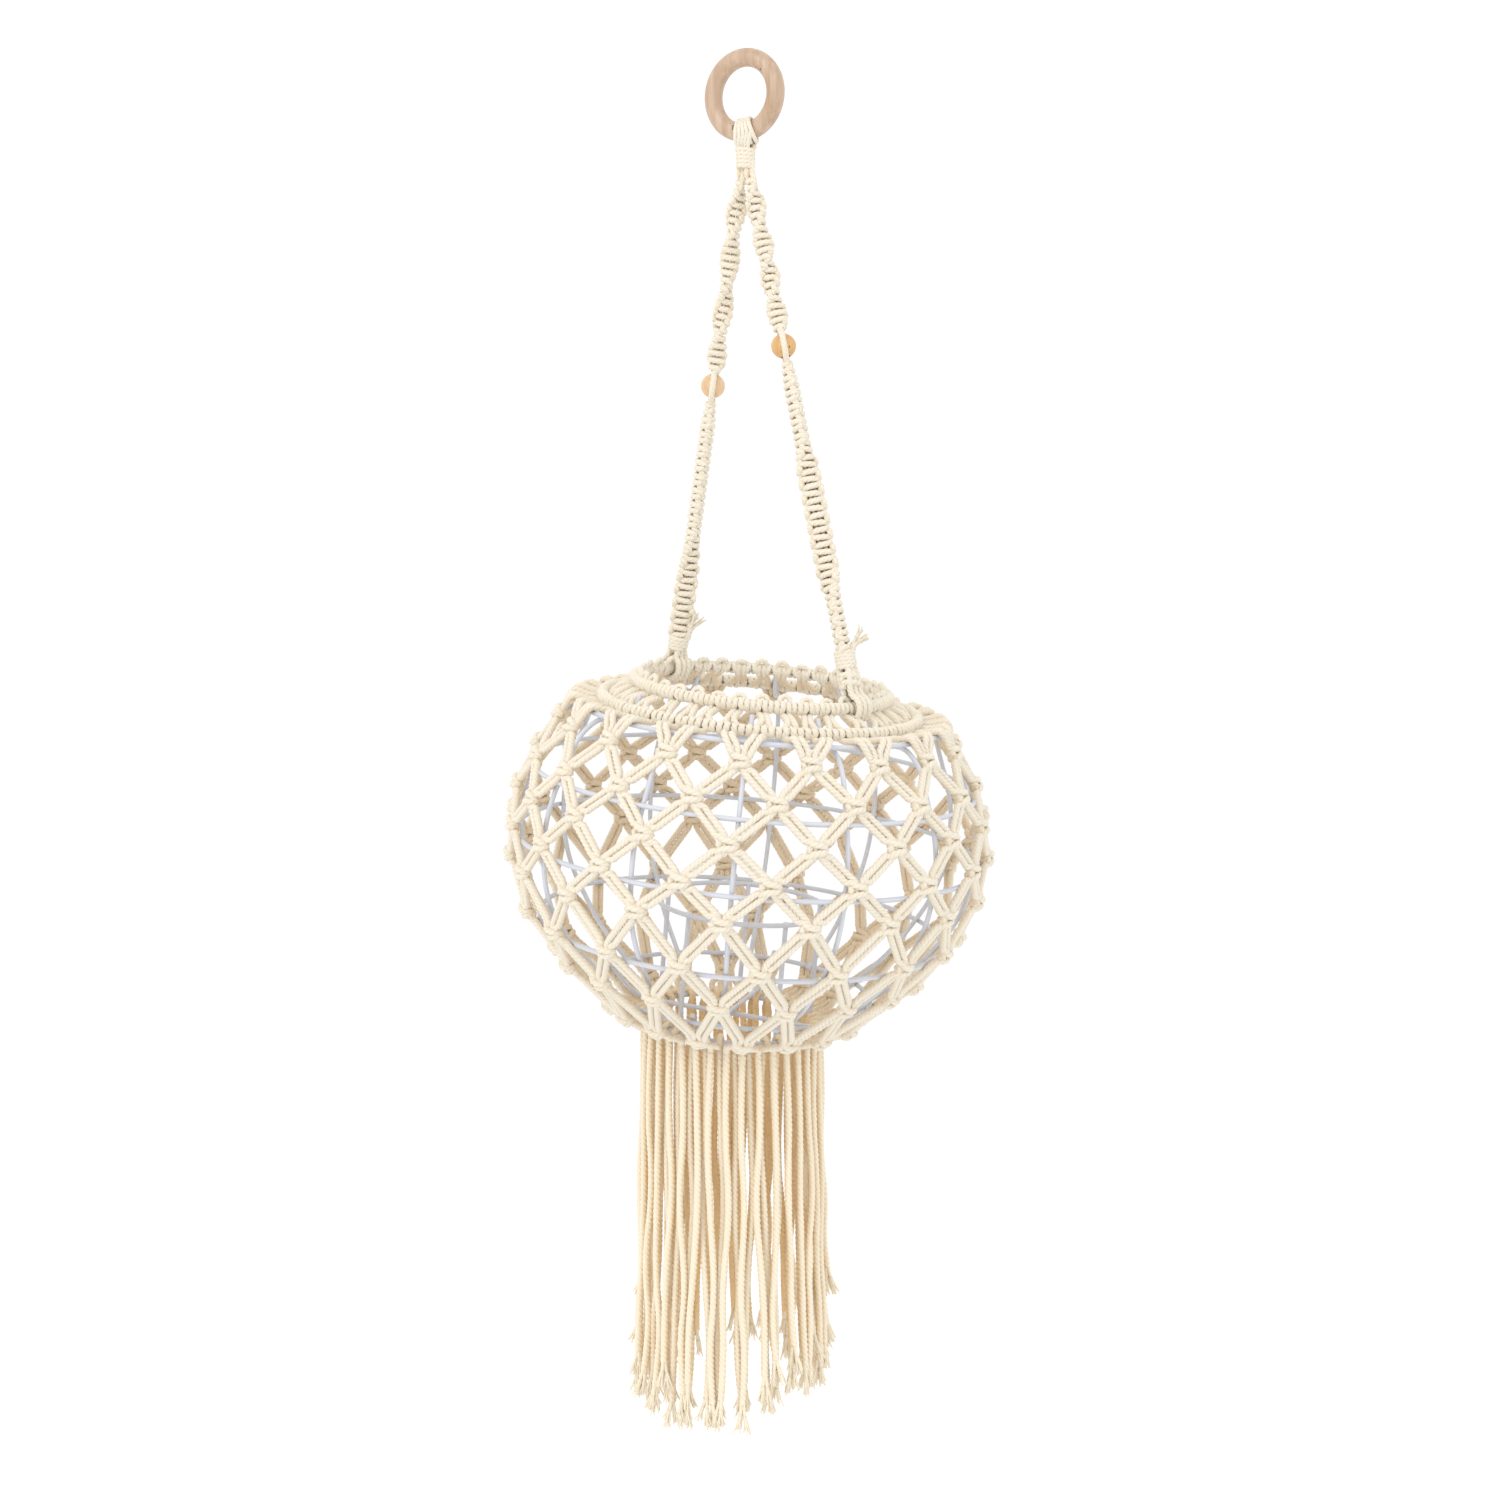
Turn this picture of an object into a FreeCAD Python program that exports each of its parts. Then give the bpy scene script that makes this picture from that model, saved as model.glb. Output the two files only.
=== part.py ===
import FreeCAD, Part
import math
import os

# A hanging macrame planter: a wooden ring, two knotted straps with a bead on each, a bowl of coated
# wire covered with a knotted cotton net, and a long fringe under it.
# Millimetres. +Z is up. The origin is where the hook bears, at the inner top of the ring.
# The two straps lie in the XZ plane: the shorter one runs to -X, the longer one to +X.

V = FreeCAD.Vector

# ---------------------------------------------------------------- driving dimensions
CORD = 4.2
FRINGE_CORD = 4.6
WIRE = 3.0
GAP = 0.3
WELD_GAP = 0.05

RING_OUTER_RADIUS = 28.0
RING_TUBE_RADIUS = 5.6
RING_TURN_DEG = 13.0

LOOP_CORDS = 4
LOOP_PITCH_DEG = 10.0

TOP_WRAP_RADIUS = 6.75
TOP_WRAP_COILS = 3
TOP_WRAP_BELOW_TUBE_CENTRE = 10.7
TOP_WRAP_HEIGHT = 11.4
TOP_WRAP_X = 1.0

CORE_RADIUS = 2.75
CORE_BORE_RADIUS = 2.8
CORE_BEND_BELOW_WRAP = 3.0

BEAD_RADIUS = 7.6
BEAD_BORE_RADIUS = 3.05
BEAD_HALF_LENGTH = 6.9
BEAD_CLEARANCE = 0.4

SPIRAL_LONG = 12.0
SPIRAL_SHORT = 8.0
SPIRAL_START = 16.0
KNOT_COLLAR_RADIUS = 6.5
KNOT_COLLAR_LENGTH = 3.0
BEAD_CORD_HALF_SPAN_DEG = 52.0
BEAD_CORD_TURN_DEG = -45.0

SINNET_WIDTH = 13.0
SINNET_THICKNESS = 8.5
SINNET_TURN_DEG = 45.0
NECK_RADIUS = 4.2
NECK_LENGTH = 6.0
NECK_CLEARANCE = 0.5

END_WRAP_RADIUS = 6.7
END_WRAP_COIL = 3.8
LASHING_OUTER_RADIUS = 9.7
LASHING_BORE_RADIUS = 6.1
LASHING_WIDTH = 13.0
TAIL_RADIUS = 2.4
TAIL_TIP_RADIUS = 3.4
TAIL_OFFSET = 9.2
TAIL_RISE = 9.0
TAIL_ROOT = 6.0

# The bowl hangs from straps of unequal length, so it leans within the plane of the straps.
BOWL_LEAN_DEG = 7.0
RIM_CENTRE = V(15.2, 0.0, -378.7)

# Each hoop: name, radius of its wire's centre line, height below the rim.
HOOPS = [
    ("rim_hoop", 79.0, 0.0),
    ("shoulder_hoop", 98.0, -12.0),
    ("upper_hoop", 113.5, -16.6),
    ("belly_hoop", 138.5, -56.8),
    ("widest_hoop", 145.5, -100.4),
    ("lower_hoop", 127.0, -153.0),
    ("base_hoop", 86.0, -195.0),
    ("cage_hoop", 54.0, -139.0),
    ("fringe_hoop", 54.0, -214.2),
]
HOOP = {name: (radius, height) for name, radius, height in HOOPS}

RIB_ANGLES = [6.0, 37.0, 68.0, 98.6, 128.4, 163.0, 194.0, 225.0, 256.0, 287.0, 311.5, 338.4]
# The path of a rib's centre line, as corners of (radius, height), rounded where it bends.
RIB_PATH = [
    (84.5, -5.2),
    (94.5, -21.4),
    (110.5, -18.1),
    (124.0, -28.5),
    (144.5, -79.9),
    (139.3, -131.6),
    (107.4, -174.1),
    (80.5, -195.5),
]

UPRIGHT_COUNT = 5
UPRIGHT_FIRST_DEG = -85.0
UPRIGHT_PAST_HOOP = 1.0
CROSS_WIRE_ANGLES = [28.0, 118.0]
CROSS_WIRE_END = (86.5, -190.2)
CROSS_WIRE_BEND = 66.0

# The cotton sleeves wound on the two top hoops.
SLEEVE_OUTER_RADIUS = 5.5
SLEEVE_BORE_RADIUS = WIRE / 2 + WELD_GAP

# The net: knots stand in rows, and every second row is turned by half a column.
COLUMNS = 18
KNOT_WIDTH = 13.0
KNOT_HEIGHT = 11.0
KNOT_THICKNESS = 7.0
LEG_WIDTH = 2 * CORD
LEG_THICKNESS = 4.0
LEG_START = 9.2
ROWS = [
    ("a", 127.5, -25.5, 0.5),
    ("b", 140.5, -47.0, 0.0),
    ("c", 147.5, -69.5, 0.5),
    ("d", 151.0, -92.5, 0.0),
    ("e", 149.0, -116.0, 0.5),
    ("f", 138.2, -146.0, 0.0),
    ("g", 115.5, -175.0, 0.5),
    ("h", 80.0, -207.0, 0.0),
]
COLLAR_COUNT = 36
COLLAR_SLANT_DEG = 2.5
COLLAR_CLEAR = 2.2
COLLAR_RISE = 2.4
COLLAR_SKIP_DEG = 7.0
SHOULDER_LEG_FROM = (105.0, -8.6)
OVER_UPPER_HOOP = (116.5, -12.6)
UPPER_LEG_SPREAD_DEG = (5.0, 4.2)
UPPER_BEND_GAP = 0.8

BASE_BAND_WIDTH = 4 * CORD
BASE_BAND_END = (58.5, -215.4)

# The fringe: four cords to a column, in two rings, hanging plumb in six bundles.
BUNDLES = 6
CORDS_PER_BUNDLE = 12
FRINGE_RADII = (56.3, 51.7)
FRINGE_TOP_BELOW_HOOP = 6.5
# How far down each point of a cord's route is, as a share of its length.
ROUTE_SHARES = [0.0, 0.2, 0.42, 0.64, 0.82, 1.0]
# Four gentle sways: (outward, sideways) at each of those points.
SWAYS = [
    [(0.0, 0.0), (0.9, 0.3), (1.2, -0.2), (2.4, 0.3), (3.4, 0.0), (5.2, 0.4)],
    [(0.0, 0.0), (0.5, -0.3), (1.6, 0.1), (2.2, -0.3), (4.0, 0.1), (5.0, -0.3)],
    [(0.0, 0.0), (1.1, 0.1), (1.3, 0.4), (2.8, 0.0), (3.5, 0.4), (5.6, 0.1)],
    [(0.0, 0.0), (0.6, -0.1), (1.7, -0.4), (2.3, 0.0), (3.9, -0.3), (4.9, 0.0)],
]
# Cord lengths of one bundle after another.
CORD_LENGTHS = [
    [216, 206, 212, 200, 218, 222, 210, 224, 165, 214, 204, 216],
    [214, 226, 204, 228, 222, 198, 226, 216, 234, 224, 230, 214],
    [226, 214, 232, 222, 240, 226, 212, 236, 228, 242, 218, 234],
    [236, 220, 230, 242, 226, 238, 214, 232, 244, 176, 236, 228],
    [224, 240, 232, 230, 236, 228, 218, 242, 234, 240, 226, 234],
    [236, 228, 232, 226, 234, 222, 216, 228, 206, 220, 200, 214],
]

NAMES_OF_STRAPS = ("left", "right")
STRAP_START_X = {"left": -2.5, "right": 4.5}
BEAD_AT = {"left": 130.2, "right": 110.4}
LOBE_PITCH = {"left": 31.0, "right": 23.0}
HINGE_BEFORE_RIM = {"left": 23.0, "right": 38.7}
RIM_ANGLE = {"left": 180.0, "right": 0.0}

# ---------------------------------------------------------------- worked out from them
RING_RADIUS = RING_OUTER_RADIUS - RING_TUBE_RADIUS
RING_CENTRE = V(0, 0, -(RING_RADIUS - RING_TUBE_RADIUS))
RING_TURN = math.radians(RING_TURN_DEG)
RING_AXIS = V(math.sin(RING_TURN), -math.cos(RING_TURN), 0)
TUBE_LOW_CENTRE = RING_CENTRE - V(0, 0, RING_RADIUS)
WRAP_TOP = TUBE_LOW_CENTRE.z - TOP_WRAP_BELOW_TUBE_CENTRE
WRAP_BOTTOM = WRAP_TOP - TOP_WRAP_HEIGHT
BOWL_PLACE = FreeCAD.Placement(RIM_CENTRE, FreeCAD.Rotation(V(0, 1, 0), BOWL_LEAN_DEG))
UP = V(0, 0, 1)


# ---------------------------------------------------------------- helpers
def polar(radius, angle_deg, height):
    angle = math.radians(angle_deg)
    return V(radius * math.cos(angle), radius * math.sin(angle), height)


def placed(shape, placement):
    copy = shape.copy()
    copy.Placement = placement.multiply(copy.Placement)
    return copy


def in_bowl(shape):
    """The shape, moved from the bowl's own frame to where the leaning bowl hangs."""
    return placed(shape, BOWL_PLACE)


def save(name, solids):
    """Write one sub-part, as one solid or as several that make it up."""
    shape = solids[0] if len(solids) == 1 else Part.makeCompound(solids)
    for solid in shape.Solids:
        if not solid.isValid():
            print("not valid:", name)
    shape.exportStep("parts/" + name + ".step")
    print(name, "solids", len(shape.Solids), "volume", round(shape.Volume))


def frame_placement(origin, along, out):
    """A placement whose Z runs along one direction and whose Y leans towards another."""
    z = V(along).normalize()
    x = out.cross(z).normalize()
    y = z.cross(x)
    matrix = FreeCAD.Matrix(
        x.x, y.x, z.x, origin.x,
        x.y, y.y, z.y, origin.y,
        x.z, y.z, z.z, origin.z,
        0, 0, 0, 1,
    )
    return FreeCAD.Placement(matrix)


def stadium_prism(width, thickness, length):
    """A bar along Z with flat faces and round edges: width along X, thickness along Y."""
    half = thickness / 2
    side = width / 2 - half
    edges = [
        Part.LineSegment(V(-side, -half, 0), V(side, -half, 0)).toShape(),
        Part.Arc(V(side, -half, 0), V(side + half, 0, 0), V(side, half, 0)).toShape(),
        Part.LineSegment(V(side, half, 0), V(-side, half, 0)).toShape(),
        Part.Arc(V(-side, half, 0), V(-side - half, 0, 0), V(-side, -half, 0)).toShape(),
    ]
    return Part.Face(Part.Wire(edges)).extrude(V(0, 0, length))


def bar(start, end, out, width, thickness, start_gap=0.0, end_gap=0.0):
    """A flat bar of cords between two points, shortened at each end."""
    along = (end - start).normalize()
    first = start + along * start_gap
    length = (end - start).Length - start_gap - end_gap
    return placed(stadium_prism(width, thickness, length), frame_placement(first, along, out))


def coiled_cylinder(radius, height, coils):
    """A round wrap of cord from z = 0 upwards, with a rounded bulge for each turn."""
    bulge = 0.8
    pitch = height / coils
    edges = [Part.LineSegment(V(0, 0, 0), V(radius - bulge, 0, 0)).toShape()]
    for turn in range(coils):
        low = turn * pitch
        edges.append(
            Part.Arc(
                V(radius - bulge, 0, low),
                V(radius, 0, low + pitch / 2),
                V(radius - bulge, 0, low + pitch),
            ).toShape()
        )
    edges.append(Part.LineSegment(V(radius - bulge, 0, height), V(0, 0, height)).toShape())
    edges.append(Part.LineSegment(V(0, 0, height), V(0, 0, 0)).toShape())
    return Part.Face(Part.Wire(edges)).revolve(V(0, 0, 0), UP, 360)


def route_wire(points):
    """Straight runs joined by tangent arcs, each arc as large as its two runs allow."""
    share = 0.45
    edges = []
    radii = []
    here = points[0]
    for before, corner, after in zip(points, points[1:], points[2:]):
        inward = (before - corner).normalize()
        outward = (after - corner).normalize()
        reach = share * min((before - corner).Length, (after - corner).Length)
        half_turn = (math.pi - inward.getAngle(outward)) / 2
        radius = reach / math.tan(half_turn)
        start = corner + inward * reach
        end = corner + outward * reach
        middle_way = (inward + outward).normalize()
        centre = corner + middle_way * (radius / math.cos(half_turn))
        middle = centre - middle_way * radius
        edges.append(Part.LineSegment(here, start).toShape())
        edges.append(Part.Arc(start, middle, end).toShape())
        radii.append(radius)
        here = end
    edges.append(Part.LineSegment(here, points[-1]).toShape())
    return Part.Wire(edges), radii


def tube(points, radius):
    """A round tube along a route."""
    wire, radii = route_wire(points)
    first = (points[1] - points[0]).normalize()
    circle = Part.Wire(Part.makeCircle(radius, points[0], first))
    solid = wire.makePipeShell([circle], True, False)
    return solid, wire.Length, min(radii)


# ---------------------------------------------------------------- ring, loop and top wrap
def build_ring():
    ring = Part.makeTorus(RING_RADIUS, RING_TUBE_RADIUS, RING_CENTRE, RING_AXIS)
    save("hanging_ring", [ring])


def build_loop():
    turns = []
    for index in range(LOOP_CORDS):
        angle = math.radians((index - (LOOP_CORDS - 1) / 2) * LOOP_PITCH_DEG)
        sideways = UP.cross(RING_AXIS)
        down_out = sideways * math.sin(angle) - UP * math.cos(angle)
        tangent = RING_AXIS.cross(down_out)
        turns.append(
            Part.makeTorus(
                RING_TUBE_RADIUS + GAP + CORD / 2,
                CORD / 2,
                RING_CENTRE + down_out * RING_RADIUS,
                tangent,
            )
        )
    loop = turns[0]
    for turn in turns[1:]:
        loop = loop.fuse(turn)
    save("ring_loop", loop.Solids)


def build_top_wrap():
    wrap = coiled_cylinder(TOP_WRAP_RADIUS, TOP_WRAP_HEIGHT, TOP_WRAP_COILS)
    wrap.translate(V(TOP_WRAP_X, 0, WRAP_BOTTOM))
    for x in STRAP_START_X.values():
        bore = Part.makeCylinder(CORE_BORE_RADIUS, TOP_WRAP_HEIGHT, V(x, 0, WRAP_BOTTOM))
        wrap = wrap.cut(bore)
    save("top_wrap", wrap.Solids)


# ---------------------------------------------------------------- straps
def strap_start(name):
    return V(STRAP_START_X[name], 0, WRAP_BOTTOM - CORE_BEND_BELOW_WRAP)


def strap_end(name):
    return BOWL_PLACE.multVec(polar(HOOP["rim_hoop"][0], RIM_ANGLE[name], 0))


def strap_length(name):
    return (strap_end(name) - strap_start(name)).Length


def hinge_at(name):
    return strap_length(name) - HINGE_BEFORE_RIM[name]


def on_strap(shape, name):
    """Move a shape built down its own +Z to the strap's straight line."""
    down = strap_end(name) - strap_start(name)
    return placed(shape, frame_placement(strap_start(name), down, V(0, 1, 0)))


def build_core(name):
    start = strap_start(name)
    upper = Part.makeCylinder(CORE_RADIUS, WRAP_TOP - start.z, start)
    bend = Part.makeSphere(CORE_RADIUS, start)
    lower = on_strap(Part.makeCylinder(CORE_RADIUS, hinge_at(name) - NECK_RADIUS), name)
    core = upper.fuse([bend, lower]).removeSplitter()
    save(name + "_core_cords", core.Solids)


def twisted_bar(length, pitch):
    """An oval bar up +Z that makes half a turn in each pitch, with its width along Y at z = 0."""
    spine = Part.Wire(Part.makeLine(V(0, 0, 0), V(0, 0, length)))
    guide = Part.Wire(Part.makeHelix(2 * pitch, length, SPIRAL_LONG).Edges)
    oval = Part.Wire(Part.Ellipse(V(0, 0, 0), SPIRAL_LONG / 2, SPIRAL_SHORT / 2).toShape())
    oval.rotate(V(0, 0, 0), UP, 90)
    sweep = Part.BRepOffsetAPI.MakePipeShell(spine)
    sweep.setAuxiliarySpine(guide, True, 0)
    sweep.add(oval, False, False)
    sweep.build()
    sweep.makeSolid()
    return sweep.shape()


def build_spiral(name):
    """The half-knot spiral, and the two cords that it sends down the outside of the bead."""
    end = BEAD_AT[name] - BEAD_RADIUS - BEAD_CLEARANCE
    spiral = twisted_bar(end - SPIRAL_START, LOBE_PITCH[name])
    spiral.rotate(V(0, 0, 0), V(0, 1, 0), 180)
    spiral.translate(V(0, 0, end))
    collar = Part.makeCylinder(
        KNOT_COLLAR_RADIUS, KNOT_COLLAR_LENGTH, V(0, 0, end - KNOT_COLLAR_LENGTH)
    )
    pieces = [collar]
    orbit = BEAD_RADIUS + BEAD_CLEARANCE + CORD / 2
    for side in (1, -1):
        section = Part.Face(Part.Wire(Part.makeCircle(CORD / 2, V(0, side * orbit, 0), UP)))
        section.rotate(V(0, 0, 0), V(side, 0, 0), -BEAD_CORD_HALF_SPAN_DEG)
        cord = section.revolve(V(0, 0, 0), V(side, 0, 0), 2 * BEAD_CORD_HALF_SPAN_DEG)
        cord.rotate(V(0, 0, 0), UP, BEAD_CORD_TURN_DEG)
        cord.translate(V(0, 0, BEAD_AT[name]))
        pieces.append(cord)
    solid = spiral.fuse(pieces)
    bore = Part.makeCylinder(CORE_BORE_RADIUS, BEAD_AT[name], V(0, 0, SPIRAL_START - 1))
    solid = solid.cut(bore)
    save(name + "_spiral_sinnet", on_strap(solid, name).Solids)


def build_bead(name):
    bead = Part.makeSphere(BEAD_RADIUS)
    size = 2 * BEAD_RADIUS
    keep = Part.makeBox(size, size, 2 * BEAD_HALF_LENGTH, V(-size / 2, -size / 2, -BEAD_HALF_LENGTH))
    bead = bead.common(keep)
    bead = bead.cut(Part.makeCylinder(BEAD_BORE_RADIUS, size, V(0, 0, -size / 2)))
    bead.translate(V(0, 0, BEAD_AT[name]))
    save(name + "_bead", on_strap(bead, name).Solids)


def build_square(name):
    """The flat square-knot sinnet, with a round neck at its lower end that the bowl swings on."""
    reach = math.radians(BEAD_CORD_HALF_SPAN_DEG)
    orbit = BEAD_RADIUS + BEAD_CLEARANCE + CORD / 2
    cord_end = orbit * math.sin(reach) + CORD / 2 * math.cos(reach)
    top = BEAD_AT[name] + cord_end + GAP
    hinge = hinge_at(name)
    flat = stadium_prism(SINNET_WIDTH, SINNET_THICKNESS, hinge - NECK_LENGTH - top)
    flat.rotate(V(0, 0, 0), UP, SINNET_TURN_DEG)
    flat.translate(V(0, 0, top))
    neck = Part.makeCylinder(NECK_RADIUS, NECK_LENGTH + 1, V(0, 0, hinge - NECK_LENGTH - 1))
    tip = Part.makeSphere(NECK_RADIUS, V(0, 0, hinge))
    solid = flat.fuse([neck, tip])
    bore_end = hinge - NECK_RADIUS + GAP
    bore = Part.makeCylinder(CORE_BORE_RADIUS, bore_end - top + 1, V(0, 0, top - 1))
    solid = solid.cut(bore)
    save(name + "_square_sinnet", on_strap(solid, name).Solids)


def build_end_wrap(name):
    """The wrap that ties a strap to the rim, its lashing round the rim, and its frayed tail."""
    rim = strap_end(name)
    top = hinge_at(name) + NECK_RADIUS + NECK_CLEARANCE
    height = strap_length(name) - top
    wrap = coiled_cylinder(END_WRAP_RADIUS, height, round(height / END_WRAP_COIL))
    wrap.translate(V(0, 0, top))
    tail = Part.makeCone(TAIL_RADIUS, TAIL_TIP_RADIUS, TAIL_ROOT + TAIL_RISE)
    tail.rotate(V(0, 0, 0), V(1, 0, 0), 180)
    tail.translate(V(-TAIL_OFFSET, 0, top + TAIL_ROOT))
    link_at = V(0, 0, top + TAIL_ROOT - CORD / 2)
    link = Part.makeCylinder(CORD / 2, TAIL_OFFSET, link_at, V(-1, 0, 0))
    solid = on_strap(wrap.fuse([tail, link]), name)
    half = V(0, LASHING_WIDTH / 2, 0)
    lashing = Part.makeCylinder(LASHING_OUTER_RADIUS, LASHING_WIDTH, rim - half, V(0, 1, 0))
    bore = Part.makeCylinder(LASHING_BORE_RADIUS, 2 * LASHING_WIDTH, rim - half * 2, V(0, 1, 0))
    solid = solid.fuse(lashing).cut(bore)
    save(name + "_end_wrap", solid.Solids)


# ---------------------------------------------------------------- wire frame
def build_hoops():
    for name, radius, height in HOOPS:
        hoop = Part.makeTorus(radius, WIRE / 2, V(0, 0, height), UP)
        save(name, [in_bowl(hoop)])


def build_ribs():
    for index, angle in enumerate(RIB_ANGLES):
        rib, length, tightest = tube([polar(r, angle, z) for r, z in RIB_PATH], WIRE / 2)
        save("rib_%02d" % (index + 1), [in_bowl(rib)])


def build_cage():
    radius = HOOP["cage_hoop"][0] - WIRE - WELD_GAP
    top = HOOP["cage_hoop"][1] + UPRIGHT_PAST_HOOP
    bottom = HOOP["fringe_hoop"][1] - UPRIGHT_PAST_HOOP
    for index in range(UPRIGHT_COUNT):
        foot = polar(radius, UPRIGHT_FIRST_DEG + index * 360 / UPRIGHT_COUNT, bottom)
        upright = Part.makeCylinder(WIRE / 2, top - bottom, foot)
        save("cage_upright_%d" % (index + 1), [in_bowl(upright)])
    for index, angle in enumerate(CROSS_WIRE_ANGLES):
        height = HOOP["fringe_hoop"][1] + (index + 1) * (WIRE + WELD_GAP)
        end_radius, end_height = CROSS_WIRE_END
        route = [
            polar(end_radius, angle, end_height),
            polar(CROSS_WIRE_BEND, angle, height),
            polar(-CROSS_WIRE_BEND, angle, height),
            polar(-end_radius, angle, end_height),
        ]
        wire, length, tightest = tube(route, WIRE / 2)
        save("cross_wire_%d" % (index + 1), [in_bowl(wire)])


# ---------------------------------------------------------------- cotton cover
def sleeve(hoop_name):
    radius, height = HOOP[hoop_name]
    outer = Part.makeTorus(radius, SLEEVE_OUTER_RADIUS, V(0, 0, height), UP)
    return outer.cut(Part.makeTorus(radius, SLEEVE_BORE_RADIUS, V(0, 0, height), UP))


def build_sleeves():
    save("rim_wrap", in_bowl(sleeve("rim_hoop")).Solids)
    save("shoulder_wrap", in_bowl(sleeve("shoulder_hoop")).Solids)


def outward(first, second, angle_deg):
    """The direction out of the net between two (radius, height) points at one angle."""
    across = second[0] - first[0]
    down = first[1] - second[1]
    length = math.hypot(across, down)
    return polar(down / length, angle_deg, across / length)


def build_collar():
    rim = HOOP["rim_hoop"]
    shoulder = HOOP["shoulder_hoop"]
    clear = SLEEVE_OUTER_RADIUS + COLLAR_CLEAR
    legs = []
    for index in range(COLLAR_COUNT):
        angle = (index + 0.5) * 360 / COLLAR_COUNT
        if min(angle % 180, 180 - angle % 180) < COLLAR_SKIP_DEG:
            continue
        slant = COLLAR_SLANT_DEG if index % 2 else -COLLAR_SLANT_DEG
        out = outward(rim, shoulder, angle)
        start = polar(rim[0], angle - slant, rim[1]) + out * COLLAR_RISE
        end = polar(shoulder[0], angle + slant, shoulder[1]) + out * COLLAR_RISE
        legs.append(in_bowl(bar(start, end, out, LEG_WIDTH, LEG_THICKNESS, clear, clear)))
    save("collar_legs", legs)


def build_upper_legs():
    """Pairs of cords from the shoulder over the upper hoop to the first row of knots."""
    row, radius, height, offset = ROWS[0]
    wide, narrow = UPPER_LEG_SPREAD_DEG
    legs = []
    for column in range(COLUMNS):
        centre = (column + offset) * 360 / COLUMNS
        knot = polar(radius, centre, height)
        for side in (-1, 1):
            start = polar(SHOULDER_LEG_FROM[0], centre + side * wide, SHOULDER_LEG_FROM[1])
            bend = polar(OVER_UPPER_HOOP[0], centre + side * narrow, OVER_UPPER_HOOP[1])
            first_out = outward(SHOULDER_LEG_FROM, OVER_UPPER_HOOP, centre)
            second_out = outward(OVER_UPPER_HOOP, (radius, height), centre)
            legs.append(
                bar(start, bend, first_out, LEG_WIDTH, LEG_THICKNESS, 0, UPPER_BEND_GAP)
            )
            legs.append(
                bar(bend, knot, second_out, LEG_WIDTH, LEG_THICKNESS, UPPER_BEND_GAP, LEG_START)
            )
    save("upper_legs", [in_bowl(leg) for leg in legs])


def build_rows():
    """Each row of square knots, with the legs that lead from it down to the next row."""
    above = OVER_UPPER_HOOP
    for index, (row, radius, height, offset) in enumerate(ROWS):
        last = index == len(ROWS) - 1
        below = BASE_BAND_END if last else ROWS[index + 1][1:3]
        slope = (V(below[0], 0, below[1]) - V(above[0], 0, above[1])).normalize()
        solids = []
        for column in range(COLUMNS):
            angle = (column + offset) * 360 / COLUMNS
            knot = polar(radius, angle, height)
            down = polar(slope.x, angle, slope.z)
            out = outward(above, below, angle)
            half = down * (KNOT_HEIGHT / 2)
            solids.append(bar(knot - half, knot + half, out, KNOT_WIDTH, KNOT_THICKNESS))
            if last:
                end = polar(below[0], angle, below[1])
                start_gap = KNOT_HEIGHT / 2 + KNOT_THICKNESS / 2 * 0.2 + GAP
                band_out = outward((radius, height), below, angle)
                solids.append(
                    bar(knot, end, band_out, BASE_BAND_WIDTH, LEG_THICKNESS, start_gap)
                )
                continue
            for side in (-0.5, 0.5):
                next_angle = angle + side * 360 / COLUMNS
                end = polar(below[0], next_angle, below[1])
                leg_out = outward((radius, height), below, angle + side * 180 / COLUMNS)
                solids.append(
                    bar(knot, end, leg_out, LEG_WIDTH, LEG_THICKNESS, LEG_START, LEG_START)
                )
        save("net_row_" + row, [in_bowl(solid) for solid in solids])
        above = (radius, height)


# ---------------------------------------------------------------- fringe
def fringe_route(bundle, index):
    """The points that one fringe cord follows, from just under its hoop to its frayed end."""
    number = bundle * CORDS_PER_BUNDLE + index
    angle = (number + 0.5) * 360 / (BUNDLES * CORDS_PER_BUNDLE)
    height = HOOP["fringe_hoop"][1] - FRINGE_TOP_BELOW_HOOP
    top = BOWL_PLACE.multVec(polar(FRINGE_RADII[number % 2], angle, height))
    out = polar(1, angle, 0)
    side = polar(1, angle + 90, 0)
    length = CORD_LENGTHS[bundle][index]
    points = []
    for share, (outward_by, sideways_by) in zip(ROUTE_SHARES, SWAYS[number % len(SWAYS)]):
        points.append(top + out * outward_by + side * sideways_by - UP * (share * length))
    return points


def build_fringe():
    for bundle in range(BUNDLES):
        cords = []
        for index in range(CORDS_PER_BUNDLE):
            cord, length, tightest = tube(fringe_route(bundle, index), FRINGE_CORD / 2)
            expected = math.pi * (FRINGE_CORD / 2) ** 2 * length
            if abs(cord.Volume / expected - 1) > 0.01:
                print("fringe cord volume is off:", bundle, index, cord.Volume, expected)
            if index == 0:
                print("bundle", bundle + 1, "first cord", round(length), "tightest arc", round(tightest))
            cords.append(cord)
        save("fringe_bundle_%d" % (bundle + 1), cords)


def main():
    os.makedirs("parts", exist_ok=True)
    build_ring()
    build_loop()
    build_top_wrap()
    for name in NAMES_OF_STRAPS:
        build_core(name)
        build_spiral(name)
        build_bead(name)
        build_square(name)
        build_end_wrap(name)
    build_hoops()
    build_ribs()
    build_cage()
    build_sleeves()
    build_collar()
    build_upper_legs()
    build_rows()
    build_fringe()


main()
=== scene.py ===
import math

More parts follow.
